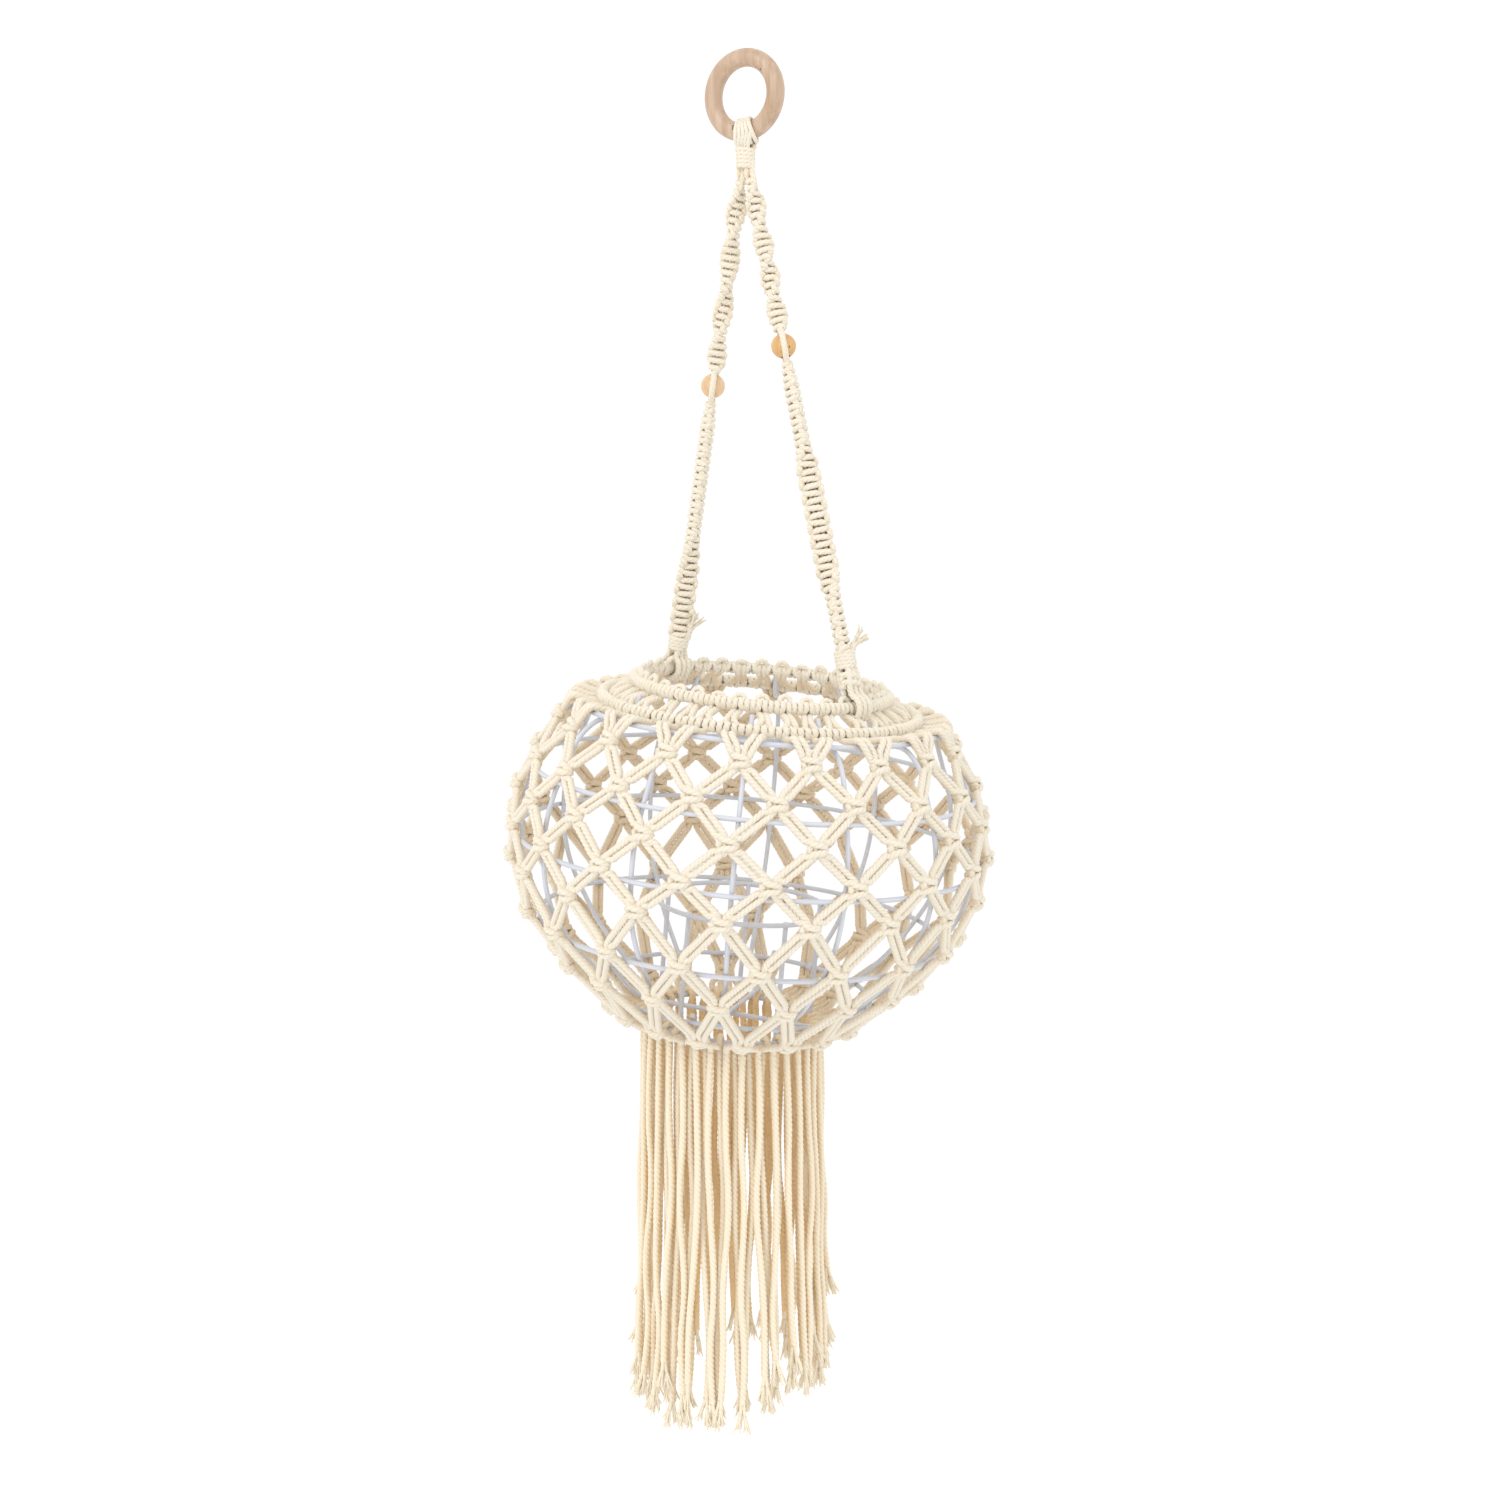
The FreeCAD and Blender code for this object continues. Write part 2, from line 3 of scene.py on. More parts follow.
import bpy
import numpy as np
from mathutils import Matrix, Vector


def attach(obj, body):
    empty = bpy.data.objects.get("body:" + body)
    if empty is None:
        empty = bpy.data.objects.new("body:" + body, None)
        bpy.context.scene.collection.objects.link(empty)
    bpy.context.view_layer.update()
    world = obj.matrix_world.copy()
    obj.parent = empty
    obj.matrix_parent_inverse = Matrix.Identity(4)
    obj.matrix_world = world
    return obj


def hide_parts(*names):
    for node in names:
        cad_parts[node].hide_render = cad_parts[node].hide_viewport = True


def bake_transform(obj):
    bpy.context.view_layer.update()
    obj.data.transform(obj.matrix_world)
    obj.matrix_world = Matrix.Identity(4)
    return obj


# The looks of a hanging macrame planter: each cotton cord is laid out as a twisted rope, and the ring,
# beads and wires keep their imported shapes. Lengths are in millimetres until a mesh is made.
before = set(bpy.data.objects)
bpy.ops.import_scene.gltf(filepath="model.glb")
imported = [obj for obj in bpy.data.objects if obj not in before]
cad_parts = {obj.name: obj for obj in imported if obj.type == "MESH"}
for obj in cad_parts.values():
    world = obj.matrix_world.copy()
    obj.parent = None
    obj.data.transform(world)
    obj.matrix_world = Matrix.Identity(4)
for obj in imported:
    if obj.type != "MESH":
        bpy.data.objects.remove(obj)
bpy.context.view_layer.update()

MM = 0.001
SEED = 7
random = np.random.default_rng(SEED)

# ---- driving sizes
# Every cord is a rope of three plies. PLY_PITCH is one turn's length on a cord of CORD_RADIUS.
CORD_RADIUS = 2.1
PLY_PITCH = 9.0
PLIES = 3
PLY_RADIUS_SHARE = 0.62
ROPE_SIDES = 12
ROPE_STEP = 1.15
LEAST_STEPS_PER_TURN = 7.5
CURVE_STEPS = 8
COIL_STEPS = 12
GIRTH_CHANGE = 0.06
POINTS_PER_GIRTH = 14

RING_RADIUS = 22.4
RING_TUBE_RADIUS = 5.6
RING_CENTRE = np.array([0.0, 0.0, -16.8])
RING_TURN = math.radians(13.0)
LOOP_PLACES = (-2.0, -1.0, 0.0, 1.0, 2.0)
LOOP_CORD_RADIUS = 1.4
LOOP_PITCH_DEG = 6.7
LOOP_TURN_DEG = 3.0
LOOP_TWIST_DEG = 6.0
LOOP_GAP = 0.3
LOOP_ORBIT = RING_TUBE_RADIUS + LOOP_GAP + LOOP_CORD_RADIUS
# The legs leave the front of the tube at these angles, and pass these stations on their way down:
# (share of their place along the ring, distance from the ring's plane, height).
LEG_START_DEG = (-35.0, -12.0, 12.0)
LEG_STATIONS = [(2.1, 3.6, -47.0), (1.4, 1.8, -50.0), (1.4, 1.8, -60.0)]

TOP_WRAP_MIDDLE = np.array([1.0, 0.0, 0.0])
TOP_WRAP_TOP = -46.6
TOP_WRAP_BOTTOM = -62.0
TOP_WRAP_TURNS = 5
TOP_WRAP_CORD_RADIUS = 1.7
TOP_WRAP_HALF_WIDTH = 4.7
TOP_WRAP_HALF_DEPTH = 4.5
FIRST_TURN_WIDER = (1.0, 0.9)

STRAP_TOP = {"left": np.array([-2.5, 0.0, -64.3]), "right": np.array([4.5, 0.0, -64.3])}
RIM_AT_STRAP = {"left": np.array([-63.2, 0.0, -369.07]), "right": np.array([93.6, 0.0, -388.3])}
BEAD_AT = {"left": 130.2, "right": 110.4}
HINGE_BEFORE_RIM = {"left": 23.0, "right": 38.7}
# The knots start here below the strap's top, and keep this far from the middle of the bead. A
# knotting cord passes the bead at (distance from the strap's middle line, height below the bead).
SPIRAL_START = 3.0
BEAD_GAP = 9.5
PAST_BEAD = [(5.2, -9.0), (8.8, -5.2), (10.1, 0.0), (8.8, 5.2), (5.2, 9.0)]
SINNET_PAST_HINGE = 4.0
INSIDE_TOP_WRAP = 8.0
WORKER_RADIUS = 1.95
WORKER_LOBES = 0.45
WORKER_START = 1.7
WORKER_END = 2.2
STRAP_FILLER_RADIUS = 1.35
STRAP_FILLER_START = 1.2
STRAP_FILLER_AT = 1.6
STRAP_FILLER_IN_BEAD = 1.1
STRAP_FILLER_STEP = 5.0
FILLER_PAST_SINNET = 12.0
FILLER_NEAR_BEAD = 12.0

# Which way the front of each strap faces on its way down: (distance from its top, degrees turned).
STRAP_TURNS = {
    "left": [
        (-7.0, 180.0), (22.2, 0.0), (51.2, -180.0), (85.2, -360.0), (112.0, -540.0),
        (121.5, -630.0), (222.0, -630.0), (262.0, -720.0), (320.0, -720.0),
    ],
    "right": [
        (-2.5, 180.0), (21.5, 0.0), (45.2, -180.0), (67.0, -360.0), (88.8, -540.0),
        (101.5, -630.0), (170.0, -630.0), (192.0, -720.0), (245.0, -720.0),
        (270.0, -810.0), (350.0, -810.0),
    ],
}
STRAP_FACE_DEG = -45.0

# A square knot of the net, as shares of its half width, its depth and the height of one half knot.
# The front cord crosses to the right, turns, and crosses back; the back cord is its mirror image.
WORKER_POINTS = [
    (-1.0, 0.0, -0.9), (-0.66, 0.72, -0.66), (0.0, 1.0, -0.5), (0.66, 0.74, -0.38),
    (1.06, -0.42, 0.0),
    (0.66, 0.74, 0.38), (0.0, 1.0, 0.5), (-0.66, 0.72, 0.66), (-1.0, 0.0, 0.9),
]

# A half knot of the straps, in shares of its half width, depth and height: one cord goes behind from
# right to left, the other in front. The first knots are smaller, up to FULL_SIZE_AFTER.
SPIRAL_PITCH = 4.5
SPIRAL_HALF_WIDTH = 4.6
SPIRAL_DEPTH = 2.2
SQUARE_KNOT_PITCH = 9.0
SINNET_HALF_WIDTH = 5.5
SINNET_DEPTH = 2.8
FIRST_KNOT_SIZE = 0.6
FULL_SIZE_AFTER = 12.0
BEHIND = [
    (0.98, 0.75, 0.02), (1.06, -0.1, 0.42), (0.5, -1.0, 0.52),
    (-0.5, -1.0, 0.58), (-1.06, -0.1, 0.66), (-0.98, 0.75, 0.98),
]
IN_FRONT = [
    (-0.82, 0.35, 0.28), (-0.4, 1.05, 0.46), (0.0, 1.15, 0.5), (0.4, 1.05, 0.54), (0.82, 0.0, 0.72),
]

# The wrap on each strap's end, the turns that hold it on the rim, and its tail.
END_WRAP_PAST_HINGE = 1.5
END_WRAP_LENGTH = {"left": 11.0, "right": 14.0}
END_WRAP_PITCH = 2.9
END_WRAP_MARGIN = 1.6
END_WRAP_ORBIT = 5.0
END_WRAP_CORD_RADIUS = 1.75
HOLD_PLACES = (-4.0, 0.0, 4.0)
HOLD_ORBIT = 7.6
HOLD_CORD_RADIUS = 2.0
HOLD_DEG = (150.0, 120.0, 90.0, 60.0, 30.0, 0.0)
# Where a holding turn starts: (distance below the wrap, share of its place, distance to its side).
HOLD_START = [(-4.0, 0.6, 1.8), (1.0, 0.8, 3.6)]
# Two more turns cross on the right strap, at these distances before the rim.
CROSSED_BEFORE_RIM = (19.0, 14.5)
CROSSED_HALF_DEPTH = 5.6
CROSSED_HALF_WIDTH = 4.6
CROSSED_SLANT = 1.2
TAIL_RADIUS = 2.1
TAIL_FROM_AXIS = (4.6, 6.0, 7.2)
TAIL_START = 5.0
TAIL_RISE = {"left": 4.0, "right": 2.0}
TAIL_LEAN = {"left": 0.25, "right": 0.6}
TAIL_WAY = (0.75, 0.45, 0.0)
# Its frayed length, spread and cord radius.
TAIL_FRAY = (13.0, 5.0, 2.4)

# A frayed end, in shares of its cord's radius and of its length. Its plies start FRAY_OVERLAP inside
# the cord, and its strands as far inside the plies.
FRAY_OVERLAP = 3.0
FRAY_BRUSH = 5
FRAY_PLY_RADIUS = 0.56
FRAY_PLY_OFF_AXIS = 0.42
FRAY_PLY_LENGTH = (0.4, 0.5)
FRAY_STRAND_RADIUS = 0.36
FRAY_STRAND_OFF_AXIS = 0.24
FRAY_STRAND_LENGTH = (0.42, 0.62)

BOWL_LEAN = math.radians(7.0)
RIM_CENTRE = np.array([15.2, 0.0, -378.7])
BOWL_CENTRE = np.array([0.0, 0.0, -105.0])
RIM = (79.0, 0.0)
SHOULDER = (98.0, -12.0)
WRAP_ORBIT = 2.6
WRAP_ORBIT_CHANGE = (-0.1, 0.5)
WRAP_STEP_DEG = 30.0
WRAP_NEAR = 1.5
WRAP_FLATNESS = 0.45
NET_GIRTH = 1.03
# The two wound hoops, and how much thinner the cords are on each.
WOUND_HOOPS = [(RIM, 0.13), (SHOULDER, 0.0)]
OVER_UPPER_HOOP = (116.5, -12.4)
FRINGE_HOOP = (54.0, -214.2)
COLUMNS = 18
COLUMN_DEG = 360.0 / COLUMNS
# A column's two pairs of cords lie this far to each side of its middle, on the wound hoops and over
# the next hoop. A cord lies WOUND_DEG from its pair's middle, outside and then inside the hoop, and
# changes over between these shares of its winding.
PAIR_AT_DEG = 5.0
PAIR_OVER_HOOP_DEG = 4.2
WOUND_DEG = (3.75, 1.25)
WOUND_OVER = (0.35, 0.65)
# A cord is wound on the rim from its underside to LEAVE_DEG of the second turn.
RIM_START_DEG = -100.0
LEAVE_DEG = 238.0
SHOULDER_START_DEG = LEAVE_DEG - 348.0
SHOULDER_END_DEG = 628.0
COLLAR_PLACE_DEG = 1.3
COLLAR_SLANT_DEG = 1.6
COLLAR_SAG = 0.7
UPPER_LEG_MIDDLE = (107.0, -14.6)
UPPER_LEG_SPACING = 1.1
# The rows of knots: radius and height of their middles.
ROWS = [
    (124.0, -26.5), (137.5, -48.0), (146.0, -70.0), (149.6, -92.5),
    (147.6, -116.0), (137.2, -146.0), (115.0, -175.0), (80.0, -207.0),
]
BASE_END = (60.5, -215.2)
# On the base, before the fringe hoop: (radius, height), and how far the pairs have opened there.
ON_BASE = (71.5, -211.6)
ON_BASE_STEP_DEG = 3.9
NEAR_BASE_END = (62.5, -214.7)
# The bend of a doubled cord on the rim: (degrees along, distance inwards, height, share of its rise).
RIM_HEAD = [
    (-2.4, 1.6, 1.6, 0.0), (-1.9, 3.0, 2.2, 0.7), (0.0, 3.4, 2.2, 1.0),
    (1.9, 3.0, 2.2, 0.7), (2.4, 1.6, 1.6, 0.0),
]
RIM_HEAD_RISE = (1.8, 4.2)
HEAD_RADIUS = 1.7
KNOT_HALF_WIDTH = 4.7
KNOT_DEPTH = 2.9
HALF_KNOT = 4.5
FILLER_AT = 1.9
FILLER_REACH = 3.6
LEG_SPACING = 2.1
LEG_POINT = 8.6
LEG_BEND = 3.6
NET_SECTORS = 6
NET_UNEVENNESS = 0.55

FRINGE_CORD_RADIUS = 2.3
FRINGE_BUNDLES = 6
CORDS_PER_BUNDLE = 12
FRINGE_STEP_DEG = 360.0 / (FRINGE_BUNDLES * CORDS_PER_BUNDLE)
FRINGE_RADII = (56.3, 51.7)
FRINGE_TOP_BELOW_HOOP = 6.5
DECLARED_CORDS = 40
FRAY_LENGTH = 15.0
FRAY_LONGER = 4.0
FRAY_SPREAD = (2.5, 5.5)
FRINGE_LOBES = 0.8
FRINGE_HEAD_RADIUS = 2.15
# Each cord's way to its top, as (radius, height): every other one goes over the fringe hoop.
FROM_BASE = [(66.5, -213.2), (62.5, -214.6)]
OVER_FRINGE_HOOP = [(57.4, -212.6), (54.0, -210.7), (50.4, -213.0), (50.2, -217.2)]
PAST_FRINGE_HOOP = [(58.6, -215.4), (57.2, -217.8)]
HEAD_BELOW_TOP = 4.0
HEADS_LIE_ON = 10.0
# Where a cord's route points lie, as shares of its length below its top.
ROUTE_SHARES = [0.2, 0.42, 0.64, 0.82, 1.0]
# Seven sways: (outward, sideways) at each share of a cord's length below its top.
SWAYS = [
    [(0.4, 2.4), (3.0, -1.0), (0.8, 3.4), (4.6, 0.6), (4.4, 4.6)],
    [(2.2, -2.0), (0.0, 1.8), (4.4, -2.6), (2.2, 2.0), (7.6, -2.2)],
    [(-0.4, 1.0), (3.4, 2.8), (1.4, -1.6), (6.0, -3.4), (3.8, -4.0)],
    [(2.0, 1.6), (0.4, -2.4), (4.4, 1.2), (1.6, 4.0), (8.0, 1.6)],
    [(0.0, -2.6), (2.8, 0.0), (0.6, 2.8), (5.4, -1.0), (3.0, 3.4)],
    [(2.4, 0.6), (0.0, 3.0), (3.8, 0.0), (2.6, -2.6), (7.0, 0.4)],
    [(1.2, -1.4), (2.4, 2.2), (1.8, -3.0), (5.0, -1.4), (5.0, -4.4)],
]
# Cord lengths of one bundle after another.
CORD_LENGTHS = [
    [216, 206, 212, 200, 218, 222, 210, 224, 165, 214, 204, 216],
    [214, 226, 204, 228, 222, 198, 226, 216, 234, 224, 230, 214],
    [226, 214, 232, 222, 240, 226, 212, 236, 228, 242, 218, 234],
    [236, 220, 230, 242, 226, 238, 214, 232, 244, 176, 236, 228],
    [224, 240, 232, 230, 236, 228, 218, 242, 234, 240, 226, 234],
    [236, 228, 232, 226, 234, 222, 216, 228, 206, 220, 200, 214],
]

# Colours, the lightest first: a cotton's face, its painted crease shade in the grooves mixed with random
# tone, and its painted shade on the side that faces what it lies on; a wood's two tones of grain and how
# its grain is turned; a wire's two tones.
COTTON = ((0.83, 0.78, 0.67), (0.76, 0.65, 0.48), (0.80, 0.65, 0.46))
# The fringe's cotton: the same cotton, painted warmer and more orange as bounce light among its dense
# cords.
COTTON_WITH_BOUNCE_LIGHT = ((0.88, 0.80, 0.65), (0.84, 0.70, 0.48), (0.84, 0.62, 0.35))
WOODS = {
    "hanging_ring": ("beech", (0.60, 0.45, 0.33), (0.45, 0.30, 0.19), (0.0, 0.0, 0.0)),
    "left_bead": ("pale_bead", (0.80, 0.58, 0.36), (0.68, 0.45, 0.25), (0.2, 0.1, 0.0)),
    "right_bead": ("warm_bead", (0.76, 0.47, 0.20), (0.60, 0.34, 0.12), (0.3, 0.0, 0.0)),
}
WIRE = ((0.58, 0.61, 0.68), (0.68, 0.70, 0.76))
WIRE_NODES = ("hoop", "rib_", "cage_", "cross_wire")

# The studio and the camera, in metres.
FLOOR_HALF = 12.0
FLOOR_HEIGHT = -1.30
FLOOR_ALBEDO = 0.95
WORLD_STRENGTH = 1.07
LIT_POINT = Vector((0.0, 0.0, -0.45))
# Name, place, size, power and colour.
LIGHTS = [
    ("key", (0.25, -2.0, 0.9), 1.4, 12.5, (1.0, 0.98, 0.95)),
    ("fill", (1.9, 0.5, 0.3), 1.8, 3.0, (0.95, 0.97, 1.0)),
    ("back", (-1.6, 1.6, 0.8), 1.8, 6.0, (1.0, 1.0, 1.0)),
]
CAMERA_AT = (1.0431, -1.0382, -0.2893)
CAMERA_WAY = Vector((-0.7044, 0.7044, -0.0880))
CAMERA_LENS = 56.55
CAMERA_SENSOR = 36.0
CAMERA_CLIP = (0.05, 60.0)

UP = np.array([0.0, 0.0, 1.0])
SIDEWAYS = np.array([0.0, 1.0, 0.0])
RING_TANGENT = np.array([math.cos(RING_TURN), math.sin(RING_TURN), 0.0])
RING_AXIS = np.array([math.sin(RING_TURN), -math.cos(RING_TURN), 0.0])
BOWL_ROTATION = np.array([
    [math.cos(BOWL_LEAN), 0.0, math.sin(BOWL_LEAN)],
    [0.0, 1.0, 0.0],
    [-math.sin(BOWL_LEAN), 0.0, math.cos(BOWL_LEAN)],
])


# ---- helpers
def unit(vectors):
    vectors = np.asarray(vectors, float)
    return vectors / np.linalg.norm(vectors, axis=-1, keepdims=True)


def polar(radius, angle_deg, height=0.0):
    angle = math.radians(angle_deg)
    return np.array([radius * math.cos(angle), radius * math.sin(angle), height])


def in_bowl(points):
    """Points moved from the bowl's own frame to where the leaning bowl hangs."""
    return np.asarray(points) @ BOWL_ROTATION.T + RIM_CENTRE


def evenly(line):
    """A polyline with its points at an even spacing of about ROPE_STEP."""
    lengths = np.linalg.norm(np.diff(line, axis=0), axis=1)
    along = np.concatenate([[0.0], np.cumsum(lengths)])
    count = max(2, round(along[-1] / ROPE_STEP)) + 1
    wanted = np.linspace(0.0, along[-1], count)
    return np.stack([np.interp(wanted, along, line[:, axis]) for axis in range(3)], axis=1)


def smooth_line(points):
    """An even polyline on a smooth curve through the given points."""
    points = np.asarray(points, float)
    lengths = np.maximum(np.linalg.norm(np.diff(points, axis=0), axis=1), 1e-6)[:, None]
    slopes = np.diff(points, axis=0) / lengths
    inner = (slopes[:-1] * lengths[1:] + slopes[1:] * lengths[:-1]) / (lengths[1:] + lengths[:-1])
    tangents = np.vstack([slopes[:1], inner, slopes[-1:]])
    share = (np.arange(CURVE_STEPS) / CURVE_STEPS)[None, :, None]
    start, end = points[:-1, None], points[1:, None]
    start_pull = tangents[:-1, None] * lengths[:, None]
    end_pull = tangents[1:, None] * lengths[:, None]
    curve = (
        start * (2 * share**3 - 3 * share**2 + 1)
        + start_pull * (share**3 - 2 * share**2 + share)
        + end * (3 * share**2 - 2 * share**3)
        + end_pull * (share**3 - share**2)
    )
    return evenly(np.vstack([curve.reshape(-1, 3), points[-1:]]))


def frames_along(line):
    """A normal and a side at each point of a line, carried along it without twist."""
    tangents = unit(np.gradient(line, axis=0))
    helper = UP if abs(tangents[0][2]) < 0.9 else np.array([1.0, 0.0, 0.0])
    normal = np.cross(tangents[0], helper)
    normals = np.empty_like(line)
    for index, tangent in enumerate(tangents):
        normal = normal - tangent * normal.dot(tangent)
        normal = normal / math.sqrt(normal.dot(normal))
        normals[index] = normal
    return normals, np.cross(tangents, normals)


def section(sides, depth):
    """How far out a rope's surface is at each side, as a share of its radius: a lobe for each of its
    three plies. depth is 1 for round plies and 0 for a round cord."""
    ply_centre = 1.0 - PLY_RADIUS_SHARE
    angles = np.arange(sides) / sides * PLIES % 1.0 * 2 * math.pi / PLIES
    from_peak = np.abs(angles - math.pi / PLIES)
    lobed = ply_centre * np.cos(from_peak) + np.sqrt(
        PLY_RADIUS_SHARE**2 - (ply_centre * np.sin(from_peak)) ** 2
    )
    return 1.0 - depth * (1.0 - lobed)


def away_from(line, centre):
    """The ways out from what a cord goes round, at each point of its line."""
    return unit(line - centre)


def unevenness(count):
    """Slow changes of thickness along a cord, as shares of its radius."""
    knots = 2 + count // POINTS_PER_GIRTH
    values = random.uniform(1.0 - GIRTH_CHANGE, 1.0 + GIRTH_CHANGE, knots)
    return np.interp(np.linspace(0.0, knots - 1.0, count), np.arange(knots), values)


class Strands:
    """Cords gathered into one mesh."""

    def __init__(self):
        self.points = []
        self.quads = []
        self.caps = []
        self.quad_uvs = []
        self.shades = []
        self.count = 0

    def rope(self, line, radius, depth=0.6, sides=ROPE_SIDES, outward=None, girth=None, flat=None):
        """A twisted cord along a line. outward is the way out from what the cord lies on; the cord gets
        painted shade, most on its side that faces what it lies on. girth is its thickness along the
        line, as shares of the radius, and flat is how much it is pressed against what it lies on."""
        normals, across = frames_along(line)
        rings = len(line)
        steps = np.linalg.norm(np.diff(line, axis=0), axis=1)
        along = np.concatenate([[0.0], np.cumsum(steps)])
        pitch = max(PLY_PITCH * radius / CORD_RADIUS, LEAST_STEPS_PER_TURN * steps.mean())
        twist = random.uniform(0.0, 2 * math.pi) - 2 * math.pi * along / pitch
        angles = twist[:, None] + np.arange(sides)[None, :] * 2 * math.pi / sides
        ways = (
            np.cos(angles)[..., None] * normals[:, None]
            + np.sin(angles)[..., None] * across[:, None]
        )
        if girth is None:
            girth = np.ones(rings)
        offsets = ways * (radius * section(sides, depth) * girth[:, None])[..., None]
        if flat is not None:
            raised = np.einsum("rsk,rk->rs", offsets, outward) * flat[:, None]
            offsets = offsets - raised[..., None] * outward[:, None]
        self.points.append((line[:, None] + offsets).reshape(-1, 3))
        # Painted shade: 0 on the side facing out, 1 on the side facing what the cord lies on, none
        # without outward.
        if outward is None:
            shade = np.zeros((rings, sides))
        else:
            shade = 0.5 - 0.5 * np.einsum("rsk,rk->rs", ways, outward)
        self.shades.append(shade.ravel())
        around = np.arange(sides)[None, :, None] + np.array([0, 1, 1, 0])
        ahead = np.arange(rings - 1)[:, None, None] + np.array([0, 0, 1, 1])
        self.quads.append((ahead * sides + around % sides).reshape(-1, 4) + self.count)
        uvs = np.broadcast_arrays(around / sides, along[ahead])
        self.quad_uvs.append(np.stack(uvs, axis=-1).reshape(-1, 2))
        self.caps.append(np.arange(sides)[::-1] + self.count)
        self.caps.append(np.arange(sides) + self.count + (rings - 1) * sides)
        self.count += rings * sides

    def make(self, name, material):
        """The cords as one object, with its UVs along each cord and its painted shade at each point."""
        quads = np.concatenate(self.quads)
        corners = np.concatenate([quads.ravel(), *self.caps])
        sizes = np.concatenate([np.full(len(quads), 4), [len(cap) for cap in self.caps]])
        starts = np.concatenate([[0], np.cumsum(sizes)[:-1]])
        uvs = np.zeros((len(corners), 2))
        uvs[: quads.size] = np.concatenate(self.quad_uvs)
        points = np.concatenate(self.points) * MM
        mesh = bpy.data.meshes.new(name)
        mesh.vertices.add(len(points))
        mesh.vertices.foreach_set("co", points.ravel().astype(np.float32))
        mesh.loops.add(len(corners))
        mesh.loops.foreach_set("vertex_index", corners.astype(np.int32))
        mesh.polygons.add(len(sizes))
        mesh.polygons.foreach_set("loop_start", starts.astype(np.int32))
        mesh.update(calc_edges=True)
        mesh.polygons.foreach_set("use_smooth", np.ones(len(sizes), bool))
        layer = mesh.uv_layers.new(name="Along")
        layer.data.foreach_set("uv", uvs.ravel().astype(np.float32))
        shade = mesh.attributes.new("shade", "FLOAT", "POINT")
        shade.data.foreach_set("value", np.concatenate(self.shades).astype(np.float32))
        mesh.validate()
        mesh.materials.append(material)
        piece = bpy.data.objects.new(name, mesh)
        bpy.context.scene.collection.objects.link(piece)
        return piece


# ---- materials
class Graph:
    """A new material's nodes, with short ways to add to them."""

    def __init__(self, name):
        self.material = bpy.data.materials.new(name)
        self.material.use_nodes = True
        self.nodes = self.material.node_tree.nodes
        self.link = self.material.node_tree.links.new
        self.shader = next(node for node in self.nodes if node.type == "BSDF_PRINCIPLED")

    def feed(self, socket, value):
        """Link a socket to another one, or set its plain value."""
        if isinstance(value, bpy.types.NodeSocket):
            self.link(value, socket)
        else:
            socket.default_value = value

    def math(self, operation, *values):
        node = self.nodes.new("ShaderNodeMath")
        node.operation = operation
        for socket, value in zip(node.inputs, values):
            self.feed(socket, value)
        return node.outputs[0]

    def total(self, start, *parts):
        """start plus each part times its weight."""
        for part, weight in parts:
            start = self.math("MULTIPLY_ADD", part, weight, start)
        return start

    def mix(self, share, first, second):
        node = self.nodes.new("ShaderNodeMix")
        node.data_type = "RGBA"
        self.link(share, node.inputs["Factor"])
        for socket, value in ((node.inputs["A"], first), (node.inputs["B"], second)):
            self.feed(socket, (*value, 1.0) if isinstance(value, tuple) else value)
        return next(output for output in node.outputs if output.type == "RGBA")

    def place(self):
        return self.nodes.new("ShaderNodeTexCoord").outputs["Object"]

    def add(self, kind, **values):
        """The output of a new node whose sockets are fed by name."""
        node = self.nodes.new("ShaderNode" + kind)
        for name, value in values.items():
            self.feed(node.inputs[name], value)
        return node.outputs[0]

    def noise(self, vector, scale, detail=4.0):
        return self.add("TexNoise", Vector=vector, Scale=scale, Detail=detail, Roughness=0.55)

    def stretched(self, vector, scale, turn=(0.0, 0.0, 0.0)):
        return self.add("Mapping", Vector=vector, Scale=scale, Rotation=turn)

    def bump(self, height, strength, distance):
        normal = self.add("Bump", Strength=strength, Distance=distance, Height=height)
        self.link(normal, self.shader.inputs["Normal"])

    def finish(self, colour, surface):
        """The material, with its colour and its other surface values by their sockets' names."""
        for name, value in {"Base Color": colour, **surface}.items():
            self.feed(self.shader.inputs[name], value)
        return self.material


def cotton_material(name, light, groove_shade_and_tone_colour, painted_shade_colour):
    """Matt twisted cotton: fibres along each ply, random warmer patches, painted warmer crease shade in
    the grooves, and painted shade on the side that faces what the cord lies on.
    """
    graph = Graph(name)
    along = graph.nodes.new("ShaderNodeUVMap")
    along.uv_map = "Along"
    around = graph.add("SeparateXYZ", Vector=along.outputs[0])
    turn = graph.math("MULTIPLY", around, PLIES * math.pi)
    ridge = graph.math("ABSOLUTE", graph.math("SINE", turn))
    groove = graph.math("POWER", graph.math("SUBTRACT", 1.0, ridge), 1.6)
    fibres = graph.noise(graph.stretched(along.outputs[0], (18.0, 0.3, 1.0)), 1.6)
    patches = graph.noise(graph.place(), 60.0)
    shade = graph.nodes.new("ShaderNodeAttribute")
    shade.attribute_name = "shade"
    painted_shade_mask = graph.math("POWER", shade.outputs["Fac"], 1.3)
    # Painted crease shade in the ply grooves, mixed with random warmer tone from the patches and fibres.
    groove_shade_and_tone_mask = graph.total(-0.22, (groove, 0.55), (patches, 0.3), (fibres, 0.25))
    # The face colour, then the groove shade and tone, then painted shade on the side facing what the
    # cord lies on.
    colour = graph.mix(painted_shade_mask, graph.mix(groove_shade_and_tone_mask, light, groove_shade_and_tone_colour), painted_shade_colour)
    graph.bump(graph.total(fibres, (groove, -0.8)), 0.3, 0.00005)
    return graph.finish(colour, {
        "Roughness": 0.88, "Specular IOR Level": 0.2, "Sheen Weight": 0.25, "Sheen Roughness": 0.5,
    })


